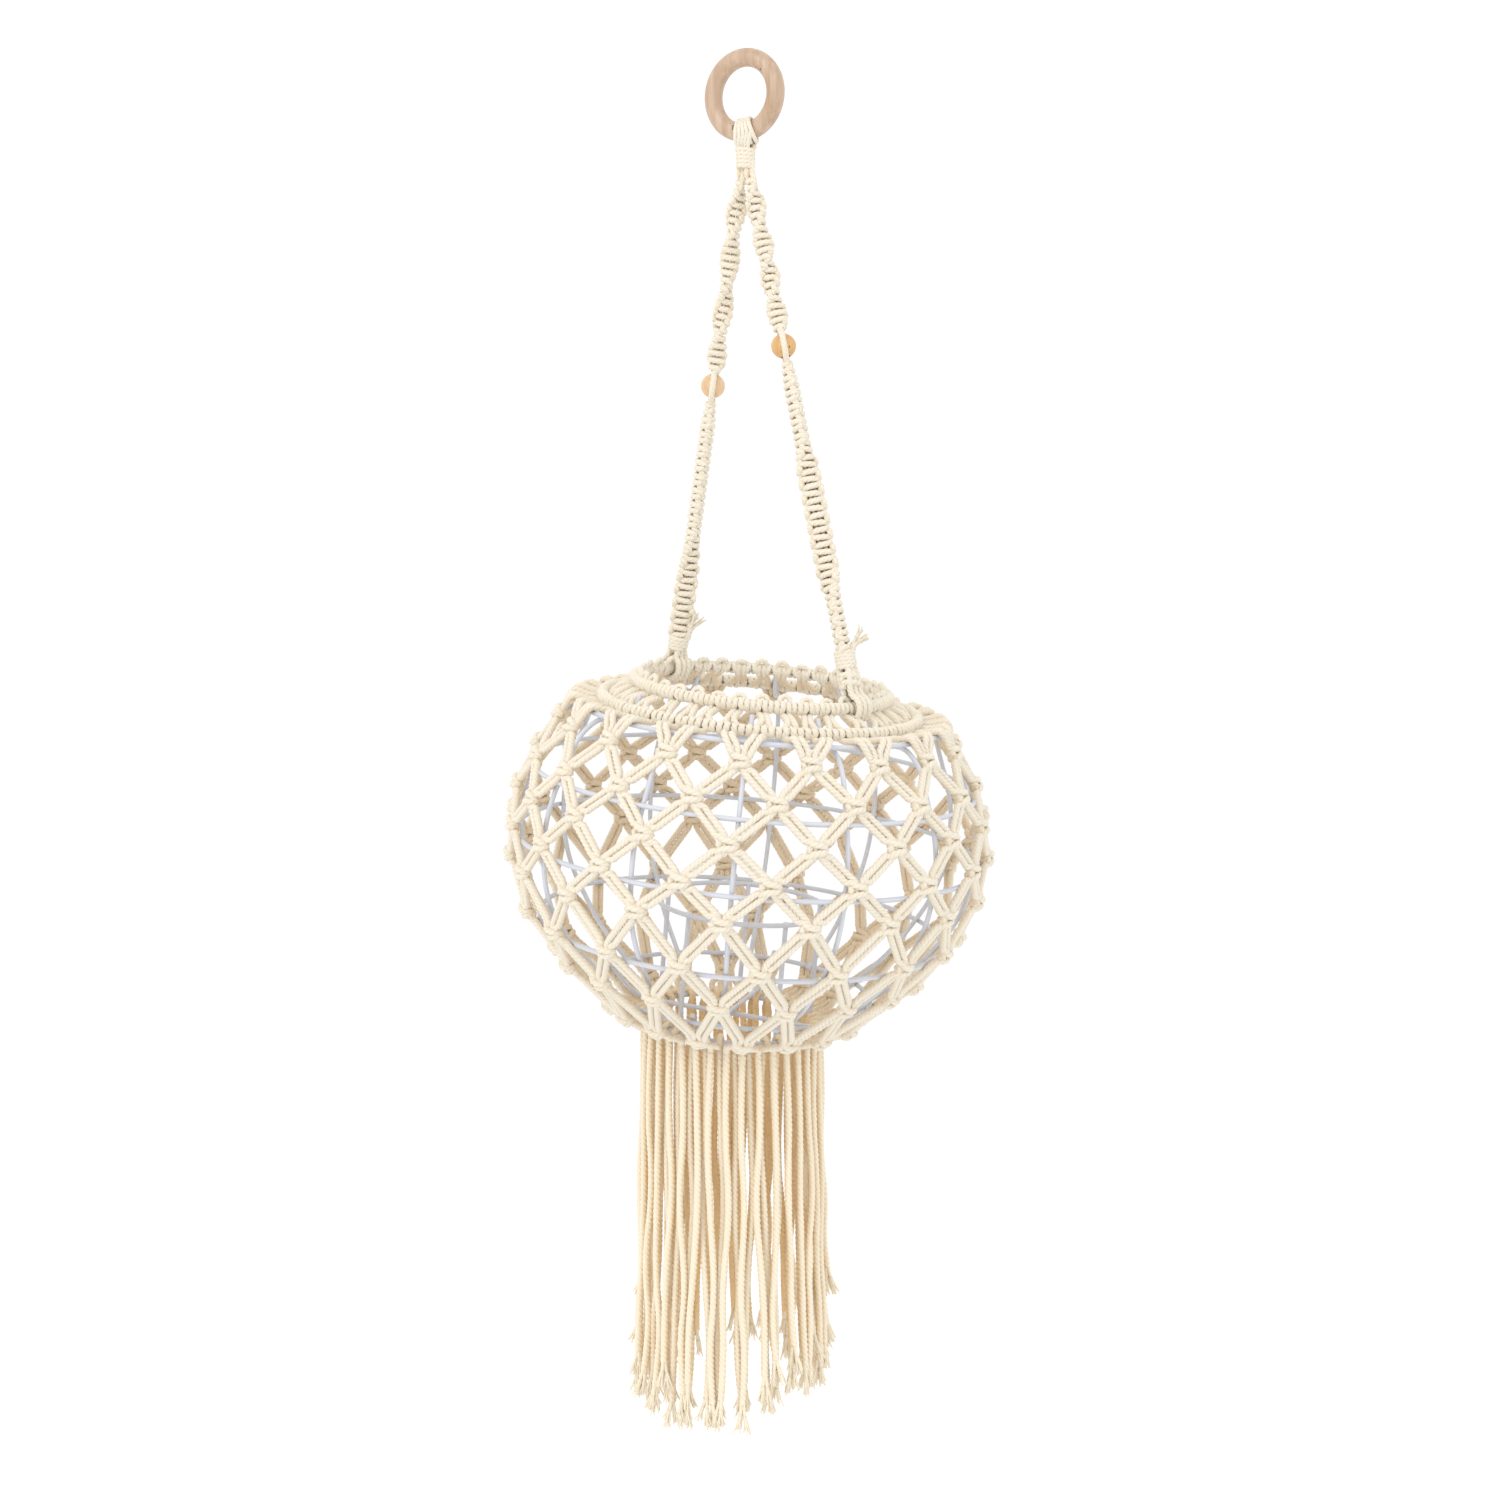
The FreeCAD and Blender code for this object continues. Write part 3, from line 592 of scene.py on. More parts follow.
def wood_material(name, light, dark, turn):
    """Smooth light wood: long grain lines, a fine pore figure and a few dark flecks."""
    graph = Graph(name)
    place = graph.place()
    grain = graph.noise(graph.stretched(place, (260.0, 260.0, 22.0), turn), 1.0, 5.0)
    pores = graph.noise(graph.stretched(place, (1500.0, 1500.0, 120.0), turn), 1.0, 2.0)
    flecks = graph.noise(graph.stretched(place, (420.0, 420.0, 190.0), turn), 1.0, 1.0)
    bands = graph.add("Clamp", Value=graph.total(-0.988, (grain, 2.6), (pores, 0.35)))
    colour = graph.mix(bands, light, dark)
    fleck = graph.math("GREATER_THAN", flecks, 0.76)
    colour = graph.mix(fleck, colour, tuple(0.35 * value for value in dark))
    graph.bump(pores, 0.12, 0.0003)
    return graph.finish(colour, {"Roughness": 0.42, "Coat Weight": 0.15, "Coat Roughness": 0.25})


def wire_material(name, light, pale):
    """White coated wire: a slightly uneven semi-gloss coat."""
    graph = Graph(name)
    patches = graph.noise(graph.place(), 90.0)
    graph.bump(graph.noise(graph.place(), 700.0, 2.0), 0.15, 0.0003)
    rough = graph.total(0.3, (patches, 0.15))
    return graph.finish(graph.mix(patches, light, pale), {"Roughness": rough})


def paint(node_name, material):
    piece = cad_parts[node_name]
    if not piece.material_slots:
        piece.data.materials.append(material)
    for slot in piece.material_slots:
        slot.material = material


# ---- ring, loop and top wrap
def at_ring(turn_deg):
    """A point on the middle line of the ring's tube, turned from its lowest point along the ring."""
    angle = math.radians(turn_deg)
    return RING_CENTRE + RING_RADIUS * (math.sin(angle) * RING_TANGENT - math.cos(angle) * UP)


def round_tube(place, angle_deg):
    """A point of one of the loop's cords beside the ring's tube: 0 degrees is in front of the tube,
    90 is below it. The cords cross the tube aslant."""
    angle = math.radians(angle_deg)
    middle = at_ring(LOOP_TURN_DEG + place * LOOP_PITCH_DEG + LOOP_TWIST_DEG * math.cos(angle))
    away = unit(middle - RING_CENTRE)
    return middle + LOOP_ORBIT * (math.cos(angle) * RING_AXIS + math.sin(angle) * away)


def build_loop(cotton):
    """The cords of the loop, each round the ring's tube."""
    strands = Strands()
    for place in LOOP_PLACES:
        line = smooth_line([round_tube(place, angle) for angle in range(90, 451, 15)])
        # Each loop cord's side that faces the loop's middle gets painted shade.
        strands.rope(line, LOOP_CORD_RADIUS, outward=away_from(line, line.mean(axis=0)))
    piece = strands.make("ring_loop_cords", cotton)
    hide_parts("ring_loop")
    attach(piece, "loop")


def build_loop_legs(cotton):
    """The legs of the loop, led down from the sides of the ring's tube into the top wrap."""
    strands = Strands()
    for place in LOOP_PLACES:
        for side in (1, -1):
            points = []
            for angle in LEG_START_DEG:
                points.append(round_tube(place, angle if side == 1 else 180.0 - angle))
            for spread, depth, height in LEG_STATIONS:
                offset = RING_TANGENT * place * spread + RING_AXIS * side * depth
                points.append(TOP_WRAP_MIDDLE + offset + UP * height)
            strands.rope(smooth_line(points), LOOP_CORD_RADIUS)
    piece = strands.make("loop_leg_cords", cotton)
    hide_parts("ring_loop")
    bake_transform(piece)


def build_top_wrap(cotton):
    """The cord wound round the legs of the loop under the ring. Its first turn is a little wider."""
    pitch = (TOP_WRAP_TOP - TOP_WRAP_BOTTOM - 2 * TOP_WRAP_CORD_RADIUS) / TOP_WRAP_TURNS
    points = []
    for step in range(TOP_WRAP_TURNS * COIL_STEPS + 1):
        turns = step / COIL_STEPS
        angle = 2 * math.pi * turns
        widening = max(0.0, 1.0 - turns)
        across = (TOP_WRAP_HALF_WIDTH + FIRST_TURN_WIDER[0] * widening) * math.cos(angle)
        depth = (TOP_WRAP_HALF_DEPTH + FIRST_TURN_WIDER[1] * widening) * math.sin(angle)
        height = TOP_WRAP_TOP - TOP_WRAP_CORD_RADIUS - turns * pitch
        points.append(TOP_WRAP_MIDDLE + RING_TANGENT * across - RING_AXIS * depth + UP * height)
    line = smooth_line(points)
    axis = TOP_WRAP_MIDDLE + UP * line[:, 2:]
    strands = Strands()
    # The wrap's side that faces the legs it holds gets painted shade.
    strands.rope(line, TOP_WRAP_CORD_RADIUS, outward=away_from(line, axis))
    piece = strands.make("top_wrap_cords", cotton)
    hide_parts("top_wrap")
    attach(piece, "hanger")


# ---- straps
def strap_length(name):
    return float(np.linalg.norm(RIM_AT_STRAP[name] - STRAP_TOP[name]))


def strap_ways(name):
    """The ways down a strap and to its right, square to each other and to SIDEWAYS."""
    down = unit(RIM_AT_STRAP[name] - STRAP_TOP[name])
    return down, np.cross(down, SIDEWAYS)


def hinge_at(name):
    """How far down a strap its hinge is."""
    return strap_length(name) - HINGE_BEFORE_RIM[name]


def end_wrap_top(name):
    """How far down a strap its end wrap starts."""
    return hinge_at(name) + END_WRAP_PAST_HINGE


def out_of_strap(name, line):
    """The ways out from a strap's middle line, at each point of a line."""
    down, _ = strap_ways(name)
    along = (line - STRAP_TOP[name]) @ down
    return away_from(line, STRAP_TOP[name] + along[:, None] * down)


def on_strap(name, across, forward, distance):
    """A point beside the strap's middle line, in the frame that turns with the strap."""
    down, right = strap_ways(name)
    where, turned = zip(*STRAP_TURNS[name])
    facing = math.radians(STRAP_FACE_DEG + np.interp(distance, where, turned))
    front = right * math.cos(facing) + SIDEWAYS * math.sin(facing)
    width = SIDEWAYS * math.cos(facing) - right * math.sin(facing)
    return STRAP_TOP[name] + down * distance + width * across + front * forward


def knotted_points(name, start, end, pitch, behind, spiral):
    """The way of one working cord through the half knots of a sinnet. behind says whether it starts
    behind the fillers. In a spiral the two cords change places after each half knot; in a row of
    square knots they keep them, and every second half knot is the mirror image."""
    half_width = SPIRAL_HALF_WIDTH if spiral else SINNET_HALF_WIDTH
    depth = SPIRAL_DEPTH if spiral else SINNET_DEPTH
    mirror = 1
    points = []
    for index in range(round((end - start) / pitch)):
        at = start + index * pitch
        size = min(1.0, FIRST_KNOT_SIZE + (1.0 - FIRST_KNOT_SIZE) * (at - start) / FULL_SIZE_AFTER)
        for across, forward, share in BEHIND if behind else IN_FRONT:
            points.append(on_strap(
                name, across * mirror * half_width * size, forward * depth * size, at + share * pitch
            ))
        if spiral:
            behind = not behind
        else:
            mirror = -mirror
    return points


def working_cord(name, side):
    """The line of one knotting cord: from inside the top wrap through the spiral, past the bead and
    through the square knots into the end wrap."""
    bead = BEAD_AT[name]
    spiral_end = bead - BEAD_GAP
    sinnet_start = bead + BEAD_GAP
    sinnet_end = hinge_at(name) + SINNET_PAST_HINGE
    spiral_knots = round((spiral_end - SPIRAL_START) / SPIRAL_PITCH)
    square_knots = round((sinnet_end - sinnet_start) / SQUARE_KNOT_PITCH)
    spiral_pitch = (spiral_end - SPIRAL_START) / spiral_knots
    sinnet_pitch = (sinnet_end - sinnet_start) / square_knots / 2
    points = [
        on_strap(name, side * WORKER_START, 0.0, 0.0) + UP * INSIDE_TOP_WRAP,
        on_strap(name, side * WORKER_START, 0.0, 0.5),
    ]
    points += knotted_points(name, SPIRAL_START, spiral_end, spiral_pitch, side == 1, True)
    last = side if spiral_knots % 2 == 0 else -side
    for reach, below in PAST_BEAD:
        points.append(on_strap(name, last * reach, 0.0, bead + below))
    points += knotted_points(name, sinnet_start, sinnet_end, sinnet_pitch, last == 1, False)
    for past_end in (2.0, 10.0):
        points.append(on_strap(name, last * WORKER_END, 0.0, sinnet_end + past_end))
    return smooth_line(points)


def filler_cord(name, side):
    """The line of one of the two cords that the others are knotted round."""
    end = hinge_at(name) + SINNET_PAST_HINGE + FILLER_PAST_SINNET
    points = [on_strap(name, 0.0, side * STRAP_FILLER_START, 0.0) + UP * INSIDE_TOP_WRAP]
    for distance in np.arange(1.0, end, STRAP_FILLER_STEP):
        in_bead = abs(distance - BEAD_AT[name]) < FILLER_NEAR_BEAD
        spread = STRAP_FILLER_IN_BEAD if in_bead else STRAP_FILLER_AT
        points.append(on_strap(name, side * spread, 0.0, distance))
    return smooth_line(points)


def build_strap(name, cotton):
    """One strap: two fillers, and two working cords knotted round them and led past the bead."""
    strands = Strands()
    for side in (1, -1):
        line = working_cord(name, side)
        # Each cord's side that faces the strap's middle line gets painted shade.
        strands.rope(line, WORKER_RADIUS, depth=WORKER_LOBES, outward=out_of_strap(name, line))
        line = filler_cord(name, side)
        strands.rope(line, STRAP_FILLER_RADIUS, outward=out_of_strap(name, line))
    piece = strands.make(name + "_strap", cotton)
    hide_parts(name + "_core_cords", name + "_spiral_sinnet", name + "_square_sinnet")
    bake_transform(piece)


def frayed_end(strands, root, way, length, spread, radius):
    """An untwisted cord end: three plies that part, each opening into a brush of blunt strands."""
    way = unit(way)
    helper = UP if abs(way[2]) < 0.8 else np.array([1.0, 0.0, 0.0])
    first = unit(np.cross(way, helper))
    second = np.cross(way, first)
    spin = random.uniform(0.0, 2 * math.pi)
    ply_off_axis = radius * FRAY_PLY_OFF_AXIS
    for ply in range(PLIES):
        angle = spin + ply * 2 * math.pi / PLIES + random.uniform(-0.3, 0.3)
        out = first * math.cos(angle) + second * math.sin(angle)
        reach = random.uniform(0.5, 1.0) * spread
        part = length * random.uniform(*FRAY_PLY_LENGTH)
        line = smooth_line([
            root - way * FRAY_OVERLAP + out * radius * 0.3,
            root + way * part * 0.4 + out * (ply_off_axis + reach * 0.12),
            root + way * part + out * (ply_off_axis + reach * 0.45),
        ])
        strands.rope(line, radius * FRAY_PLY_RADIUS, sides=9, girth=np.linspace(1.0, 0.9, len(line)))
        onward = unit(line[-1] - line[-2])
        for strand in range(FRAY_BRUSH):
            turn = spin + (strand + random.uniform(0.0, 0.6)) * 2 * math.pi / FRAY_BRUSH
            lean = first * math.cos(turn) + second * math.sin(turn)
            reach = length * random.uniform(*FRAY_STRAND_LENGTH)
            start = line[-1] - onward * FRAY_OVERLAP + lean * radius * FRAY_STRAND_OFF_AXIS
            middle = start + onward * reach * 0.5 + lean * random.uniform(0.2, 0.8)
            tip = start + onward * reach + lean * random.uniform(0.5, 2.2)
            tuft = smooth_line([start, middle, tip])
            girth = np.linspace(1.0, 0.6, len(tuft))
            strands.rope(tuft, radius * FRAY_STRAND_RADIUS, sides=6, girth=girth)


def end_wrap_line(name):
    """The line of the cord wound round a strap's end."""
    down, right = strap_ways(name)
    first = end_wrap_top(name) + END_WRAP_MARGIN
    steps = round(END_WRAP_LENGTH[name] / END_WRAP_PITCH) * COIL_STEPS
    points = []
    for step in range(steps + 1):
        angle = 2 * math.pi * step / COIL_STEPS
        wound_length = (END_WRAP_LENGTH[name] - 2 * END_WRAP_MARGIN) * step / steps
        around = right * math.cos(angle) + SIDEWAYS * math.sin(angle)
        middle = STRAP_TOP[name] + down * (first + wound_length)
        points.append(middle + around * END_WRAP_ORBIT)
    return smooth_line(points)


def hold_line(name, along, way):
    """The line of half a turn that holds the strap on the rim. along is where it lies on the rim, and
    way is the side on which it comes down."""
    down, right = strap_ways(name)
    bottom = end_wrap_top(name) + END_WRAP_LENGTH[name]
    points = []
    for below, share, beside in HOLD_START:
        middle = STRAP_TOP[name] + down * (bottom + below)
        points.append(middle + along * share + right * way * beside)
    for angle_deg in HOLD_DEG:
        angle = math.radians(angle_deg)
        around = right * way * math.sin(angle) + down * math.cos(angle)
        points.append(RIM_AT_STRAP[name] + along + HOLD_ORBIT * around)
    return smooth_line(points)


def crossed_line(name, before_rim, way):
    """The line of one side of a turn that crosses the strap aslant, just above the rim."""
    down, right = strap_ways(name)
    points = []
    for angle in np.linspace(-0.3, math.pi + 0.3, 9):
        height = strap_length(name) - before_rim + CROSSED_SLANT * way * math.cos(angle)
        around = (
            SIDEWAYS * math.cos(angle) * CROSSED_HALF_DEPTH
            + right * way * math.sin(angle) * CROSSED_HALF_WIDTH
        )
        points.append(STRAP_TOP[name] + down * height + around)
    return smooth_line(points)


def tail_line(name, tail_way):
    """The line of the cord's end that stands out of the end wrap."""
    down, _ = strap_ways(name)
    points = []
    for below, beside in zip((TAIL_START, 0.0, -TAIL_RISE[name]), TAIL_FROM_AXIS):
        points.append(STRAP_TOP[name] + down * (end_wrap_top(name) + below) + tail_way * beside)
    return smooth_line(points)


def build_end_wrap(name, cotton):
    """The cord wound round a strap's end, the turns that hold it on the rim, and its frayed tail."""
    strands = Strands()
    strands.rope(end_wrap_line(name), END_WRAP_CORD_RADIUS)
    for place in HOLD_PLACES:
        for way in (1, -1):
            strands.rope(hold_line(name, SIDEWAYS * place, way), HOLD_CORD_RADIUS)
    if name == "right":
        for before_rim in CROSSED_BEFORE_RIM:
            for way in (1, -1):
                strands.rope(crossed_line(name, before_rim, way), HOLD_CORD_RADIUS)
    tail_way = unit(TAIL_WAY)
    line = tail_line(name, tail_way)
    strands.rope(line, TAIL_RADIUS)
    way = unit(line[-1] - line[-2]) + tail_way * TAIL_LEAN[name]
    frayed_end(strands, line[-1], way, *TAIL_FRAY)
    piece = strands.make(name + "_end_wrap_cords", cotton)
    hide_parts(name + "_end_wrap")
    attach(piece, "bowl")


# ---- net
# A small shift of each knot from its even place: across, outward, down.
KNOT_SHIFTS = random.normal(0.0, NET_UNEVENNESS, (len(ROWS), 2 * COLUMNS, 3)) * np.array([1.0, 0.3, 1.0])


def knot_place(index, angle_deg):
    """The middle of a knot, and its ways across, outward and down, in the bowl's own frame."""
    above = OVER_UPPER_HOOP if index == 0 else ROWS[index - 1]
    below = BASE_END if index == len(ROWS) - 1 else ROWS[index + 1]
    radial, vertical = unit(np.subtract(below, above))
    across = polar(1.0, angle_deg + 90.0)
    outward = polar(-vertical, angle_deg, radial)
    down = polar(radial, angle_deg, vertical)
    radius, height = ROWS[index]
    shift = KNOT_SHIFTS[index, round(angle_deg / (COLUMN_DEG / 2)) % (2 * COLUMNS)]
    middle = polar(radius, angle_deg, height) + across * shift[0] + outward * shift[1] + down * shift[2]
    return middle, across, outward, down


def knot_points(index, angle_deg, place):
    """The way of one of a knot's four cords through it: 0 and 3 do the work, 1 and 2 are held."""
    middle, across, outward, down = knot_place(index, angle_deg)
    if place in (1, 2):
        side = -1 if place == 1 else 1
        offsets = [(side * FILLER_AT, 0.0, end * FILLER_REACH) for end in (-1, 1)]
    else:
        side = 1 if place == 0 else -1
        offsets = [
            (u * side * KNOT_HALF_WIDTH, w * side * KNOT_DEPTH, s * HALF_KNOT)
            for u, w, s in WORKER_POINTS
        ]
    return [middle + across * u + outward * w + down * s for u, w, s in offsets]


def leg_points(start, end, outward, slot_side):
    """The points of a cord on the leg between two knots, beside the leg's middle line."""
    way = unit(end - start)
    beside = np.cross(unit(outward), way)
    around = np.cross(UP, unit((start + end) * np.array([1.0, 1.0, 0.0])))
    offset = beside * np.sign(beside.dot(around)) * LEG_SPACING * slot_side
    points = [start + way * gap + offset for gap in (LEG_POINT, LEG_POINT + LEG_BEND)]
    return points + [end - way * gap + offset for gap in (LEG_POINT + LEG_BEND, LEG_POINT)]


def wound(hoop, pair_angle, slot_side, start_deg, end_deg, orbit):
    """Points of a cord wound on a hoop: up its outer side, over it and down its inner side."""
    radius, height = hoop
    steps = round((end_deg - start_deg) / WRAP_STEP_DEG)
    points = []
    for step in range(steps + 1):
        share = step / steps
        turn = math.radians(start_deg + (end_deg - start_deg) * share)
        angle = pair_angle + slot_side * np.interp(share, WOUND_OVER, WOUND_DEG)
        points.append(polar(radius + orbit * math.cos(turn), angle, height + orbit * math.sin(turn)))
    return points


def slot_side_of(place):
    """Which side of its pair a cord lies on."""
    return -1 if place % 2 == 0 else 1


def collar_points(column, pair_side, slot_side):
    """A cord's way from the rim, wound on it and on the shoulder hoop, to over the next hoop, and
    the middle of its pair there."""
    knot_angle = (column + 0.5) * COLUMN_DEG
    pair_angle = knot_angle + pair_side * PAIR_AT_DEG
    rim_orbit, shoulder_orbit = WRAP_ORBIT + random.uniform(*WRAP_ORBIT_CHANGE, 2)
    points = wound(RIM, pair_angle, slot_side, RIM_START_DEG, 360.0 + LEAVE_DEG, rim_orbit)
    slant = COLLAR_SLANT_DEG * (1 if column % 2 else -1) * pair_side
    points.append(polar(
        (RIM[0] + SHOULDER[0]) / 2,
        pair_angle + slot_side * COLLAR_PLACE_DEG + slant,
        (RIM[1] + SHOULDER[1]) / 2 - WRAP_ORBIT * COLLAR_SAG,
    ))
    points += wound(
        SHOULDER, pair_angle, slot_side, SHOULDER_START_DEG, SHOULDER_END_DEG, shoulder_orbit
    )
    over_angle = knot_angle + pair_side * PAIR_OVER_HOOP_DEG
    beside_deg = slot_side * math.degrees(LEG_SPACING / OVER_UPPER_HOOP[0])
    half_way = (pair_angle + over_angle) / 2 + beside_deg * UPPER_LEG_SPACING
    points.append(polar(UPPER_LEG_MIDDLE[0], half_way, UPPER_LEG_MIDDLE[1]))
    points.append(polar(OVER_UPPER_HOOP[0], over_angle + beside_deg, OVER_UPPER_HOOP[1]))
    return points, polar(OVER_UPPER_HOOP[0], over_angle, OVER_UPPER_HOOP[1])


def net_cord(column, place):
    """The whole way of one cord of the bowl, from the rim to the end of the base."""
    pair_side = -1 if place < 2 else 1
    points, over_middle = collar_points(column, pair_side, slot_side_of(place))
    angle = (column + 0.5) * COLUMN_DEG
    middle, _, outward, _ = knot_place(0, angle)
    points.append(leg_points(over_middle, middle, outward, slot_side_of(place))[-1])
    points += knot_points(0, angle, place)
    for index in range(1, len(ROWS)):
        side = -1 if place < 2 else 1
        next_angle = angle + side * COLUMN_DEG / 2
        start, _, start_outward, _ = knot_place(index - 1, angle)
        end, _, end_outward, _ = knot_place(index, next_angle)
        points += leg_points(start, end, start_outward + end_outward, slot_side_of(place))
        place = place - 2 * side
        points += knot_points(index, next_angle, place)
        angle = next_angle
    end_angle = angle + (place - 1.5) * FRINGE_STEP_DEG
    half_way = (angle + (place - 1.5) * ON_BASE_STEP_DEG + end_angle) / 2
    points.append(polar(ON_BASE[0], half_way, ON_BASE[1]))
    points.append(polar(NEAR_BASE_END[0], end_angle, NEAR_BASE_END[1]))
    return points


def fringe_angle(number):
    """Where round the hoop a fringe cord hangs, in degrees."""
    return (number + 0.5) * FRINGE_STEP_DEG


def fringe_top(number):
    height = FRINGE_HOOP[1] - FRINGE_TOP_BELOW_HOOP
    return in_bowl(polar(FRINGE_RADII[number % 2], fringe_angle(number), height))


def head_points(number):
    """A cord's way from the base of the net, over or past the fringe hoop, to where it hangs free."""
    way = FROM_BASE + (OVER_FRINGE_HOOP if number % 2 else PAST_FRINGE_HOOP)
    points = [in_bowl(polar(radius, fringe_angle(number), height)) for radius, height in way]
    top = fringe_top(number)
    return points + [top, top - UP * HEAD_BELOW_TOP]


def net_outward(line):
    """The way out from what a net cord lies on, and how much thinner and flatter it is there."""
    # The side of a cord that faces the bowl's middle, or the hoop it is wound on, gets painted shade
    # from this way out.
    outward = away_from(line, BOWL_CENTRE)
    radii = np.linalg.norm(line[:, :2], axis=1)
    radial = np.column_stack([line[:, :2] / radii[:, None], np.zeros(len(line))])
    thinner = np.zeros(len(line))
    flat = np.zeros(len(line))
    for (radius, height), squeeze in WOUND_HOOPS:
        beside = radii - radius
        above = line[:, 2] - height
        distance = np.hypot(beside, above)
        wound_on = distance < WRAP_ORBIT + WRAP_NEAR
        from_hoop = unit(radial * beside[:, None] + UP * above[:, None])
        outward = np.where(wound_on[:, None], from_hoop, outward)
        thinner = np.maximum(thinner, wound_on * squeeze)
        flat = np.maximum(flat, wound_on * WRAP_FLATNESS)
    smoothing = np.ones(5) / 5
    return outward, np.convolve(thinner, smoothing, "same"), np.convolve(flat, smoothing, "same")


def rim_head_line(pair_angle):
    """The bend of a doubled cord where it is hitched on the rim, standing a little above it."""
    rise = random.uniform(*RIM_HEAD_RISE)
    points = []
    for along, inward, height, share in RIM_HEAD:
        points.append(polar(RIM[0] - inward, pair_angle + along, height + share * rise))
    return in_bowl(smooth_line(points))


def build_net(cotton):
    """The net in sectors: the cords from the rim, through their knots, to the base."""
    replaced = ["rim_wrap", "shoulder_wrap", "collar_legs", "upper_legs"]
    replaced += ["net_row_" + row for row in "abcdefgh"]
    per_sector = COLUMNS // NET_SECTORS
    for sector in range(NET_SECTORS):
        strands = Strands()
        for column in range(sector * per_sector, (sector + 1) * per_sector):
            for pair_side in (-1, 1):
                pair_angle = (column + 0.5) * COLUMN_DEG + pair_side * PAIR_AT_DEG
                strands.rope(rim_head_line(pair_angle), HEAD_RADIUS)
            for place in range(4):
                line = smooth_line(net_cord(column, place))
                outward, thinner, flat = net_outward(line)
                girth = (NET_GIRTH - thinner) * unevenness(len(line))
                outward = outward @ BOWL_ROTATION.T
                strands.rope(in_bowl(line), CORD_RADIUS, outward=outward, girth=girth, flat=flat)
        piece = strands.make("net_cords_%d" % (sector + 1), cotton)
        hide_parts(*replaced)
        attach(piece, "bowl")


# ---- fringe
def route_points(bundle, index):
    """The points that a fringe cord's route follows."""
    number = bundle * CORDS_PER_BUNDLE + index
    top = fringe_top(number)
    out = polar(1.0, fringe_angle(number))
    side = polar(1.0, fringe_angle(number) + 90.0)
    points = [top]
    for share, (outward_by, sideways_by) in zip(ROUTE_SHARES, SWAYS[number % len(SWAYS)]):
        down = UP * share * CORD_LENGTHS[bundle][index]
        points.append(top + out * outward_by + side * sideways_by - down)
    return points


def spline_line(points):
    """The points of the smooth NURBS line that a route's points control."""
    curve = bpy.data.curves.new("route", "CURVE")
    curve.dimensions = "3D"
    curve.resolution_u = 10
    spline = curve.splines.new("NURBS")
    spline.points.add(len(points) - 1)
    for control, point in zip(spline.points, points):
        control.co = (*point, 1.0)
    spline.order_u = 3
    spline.use_endpoint_u = True
    holder = bpy.data.objects.new("route", curve)
    mesh = bpy.data.meshes.new_from_object(holder)
    line = np.array([vertex.co for vertex in mesh.vertices], float)
    bpy.data.objects.remove(holder)
    bpy.data.meshes.remove(mesh)
    bpy.data.curves.remove(curve)
    return line


def build_fringe(cotton):
    """The fringe, cord by cord, with its heads over the hoop and its frayed ends. The longest cords
    are counted, up to DECLARED_CORDS."""
    longest = sorted((length for bundle in CORD_LENGTHS for length in bundle), reverse=True)
    shortest_declared = longest[DECLARED_CORDS - 1]
    declared = 0
    hoop_middle = in_bowl(polar(0.0, 0.0, FRINGE_HOOP[1]))
    for bundle in range(FRINGE_BUNDLES):
        body = "fringe_%d" % (bundle + 1)
        heads = Strands()
        ends = Strands()
        for index in range(CORDS_PER_BUNDLE):
            number = bundle * CORDS_PER_BUNDLE + index
            length = CORD_LENGTHS[bundle][index]
            line = evenly(spline_line(route_points(bundle, index)))
            kept = len(line) - round(FRAY_LENGTH / ROPE_STEP)
            rope_line = line[:kept]
            # Each fringe cord's side that faces the hoop's axis gets painted shade.
            inside = rope_line * UP + hoop_middle * (1.0 - UP)
            cord = Strands()
            cord.rope(
                rope_line, FRINGE_CORD_RADIUS, depth=FRINGE_LOBES,
                outward=away_from(rope_line, inside), girth=unevenness(kept),
            )
            piece = cord.make("fringe_cord_%d_%02d" % (bundle + 1, index + 1), cotton)
            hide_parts("fringe_bundle_%d" % (bundle + 1))
            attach(piece, body)
            if length >= shortest_declared and declared < DECLARED_CORDS:
                declared += 1
            frayed_end(
                ends, rope_line[-1], line[-1] - rope_line[-1], FRAY_LENGTH + FRAY_LONGER,
                random.uniform(*FRAY_SPREAD), FRINGE_CORD_RADIUS,
            )
            head = smooth_line(head_points(number))
            # Each head's side that faces a point below the hoop's middle gets painted shade.
            heads.rope(
                head, FRINGE_HEAD_RADIUS, outward=away_from(head, hoop_middle - UP * HEADS_LIE_ON)
            )
        piece = ends.make("frayed_ends_%d" % (bundle + 1), cotton)
        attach(piece, body)
        piece = heads.make("fringe_heads_%d" % (bundle + 1), cotton)
        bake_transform(piece)


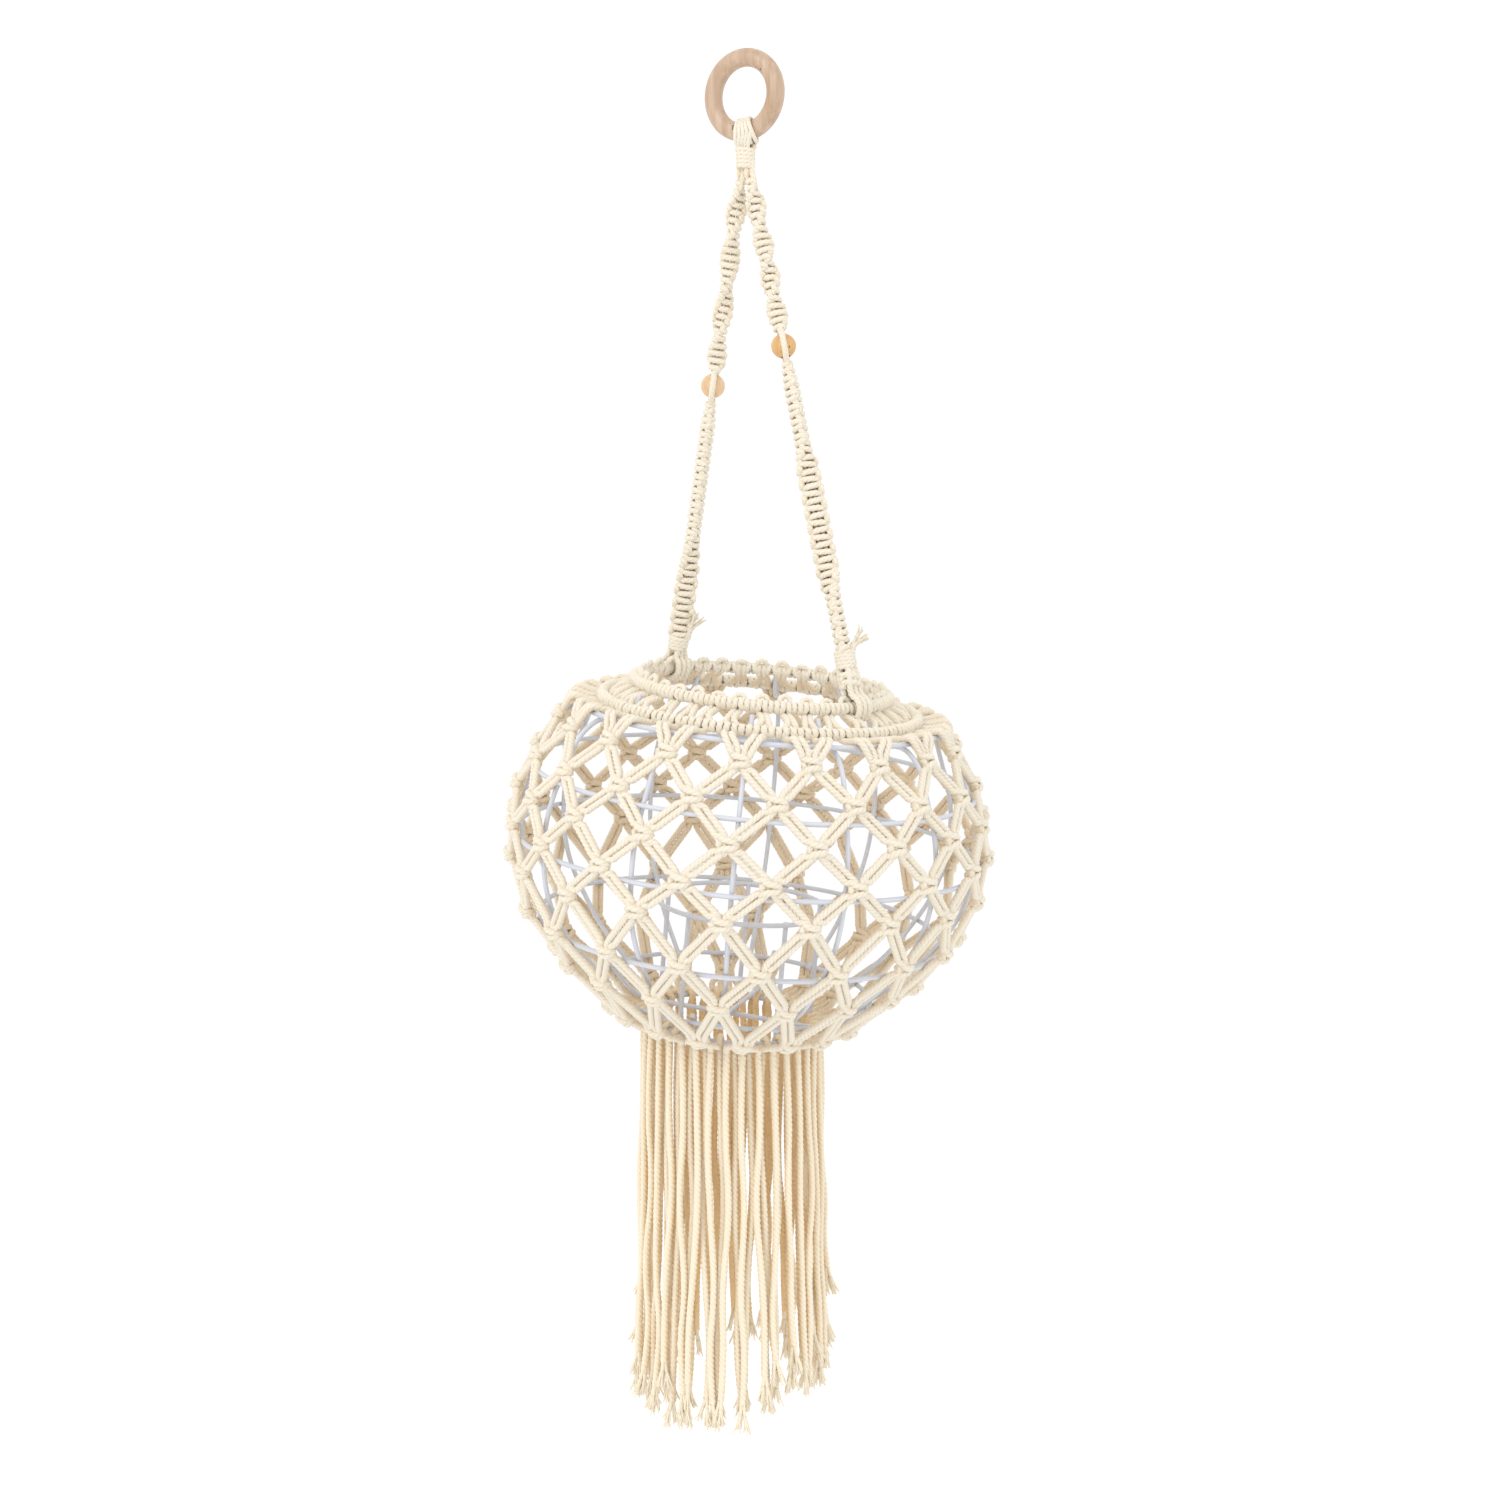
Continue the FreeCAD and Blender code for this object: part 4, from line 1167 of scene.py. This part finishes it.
# ---- studio
def build_studio():
    """A pale floor, a white world and three soft lamps."""
    corners = [
        (x * FLOOR_HALF, y * FLOOR_HALF, FLOOR_HEIGHT) for x, y in ((-1, -1), (1, -1), (1, 1), (-1, 1))
    ]
    floor_mesh = bpy.data.meshes.new("floor")
    floor_mesh.from_pydata(corners, [], [(0, 1, 2, 3)])
    floor = bpy.data.objects.new("floor", floor_mesh)
    bpy.context.scene.collection.objects.link(floor)
    pale = (FLOOR_ALBEDO, FLOOR_ALBEDO, FLOOR_ALBEDO, 1.0)
    surface = {"Roughness": 0.9, "Specular IOR Level": 0.0}
    floor_mesh.materials.append(Graph("floor").finish(pale, surface))

    world = bpy.data.worlds.new("studio")
    world.use_nodes = True
    background = world.node_tree.nodes["Background"]
    background.inputs["Color"].default_value = (1.0, 1.0, 1.0, 1.0)
    background.inputs["Strength"].default_value = WORLD_STRENGTH
    bpy.context.scene.world = world

    for name, place, size, power, colour in LIGHTS:
        data = bpy.data.lights.new(name, "AREA")
        data.size = size
        data.energy = power
        data.color = colour
        lamp = bpy.data.objects.new(name, data)
        lamp.location = place
        lamp.rotation_euler = (LIT_POINT - Vector(place)).to_track_quat("-Z", "Y").to_euler()
        bpy.context.scene.collection.objects.link(lamp)
    bpy.context.scene.view_settings.view_transform = "Standard"
    bpy.context.scene.view_settings.look = "None"


def build_camera():
    camera_data = bpy.data.cameras.new("camera")
    camera_data.lens = CAMERA_LENS
    camera_data.sensor_width = CAMERA_SENSOR
    camera_data.clip_start, camera_data.clip_end = CAMERA_CLIP
    camera = bpy.data.objects.new("camera", camera_data)
    camera.location = CAMERA_AT
    camera.rotation_euler = CAMERA_WAY.to_track_quat("-Z", "Y").to_euler()
    bpy.context.scene.collection.objects.link(camera)
    bpy.context.scene.camera = camera


def main():
    build_camera()
    build_studio()
    cotton = cotton_material("cotton", *COTTON)
    # The fringe gets the cotton with painted bounce light.
    build_fringe(cotton_material("cotton_with_painted_bounce_light", *COTTON_WITH_BOUNCE_LIGHT))
    build_net(cotton)
    for name in ("left", "right"):
        build_strap(name, cotton)
        build_end_wrap(name, cotton)
    build_loop(cotton)
    build_loop_legs(cotton)
    build_top_wrap(cotton)
    for node_name, wood in WOODS.items():
        paint(node_name, wood_material(*wood))
    wire = wire_material("coated_wire", *WIRE)
    for node_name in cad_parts:
        if any(part in node_name for part in WIRE_NODES):
            paint(node_name, wire)


main()
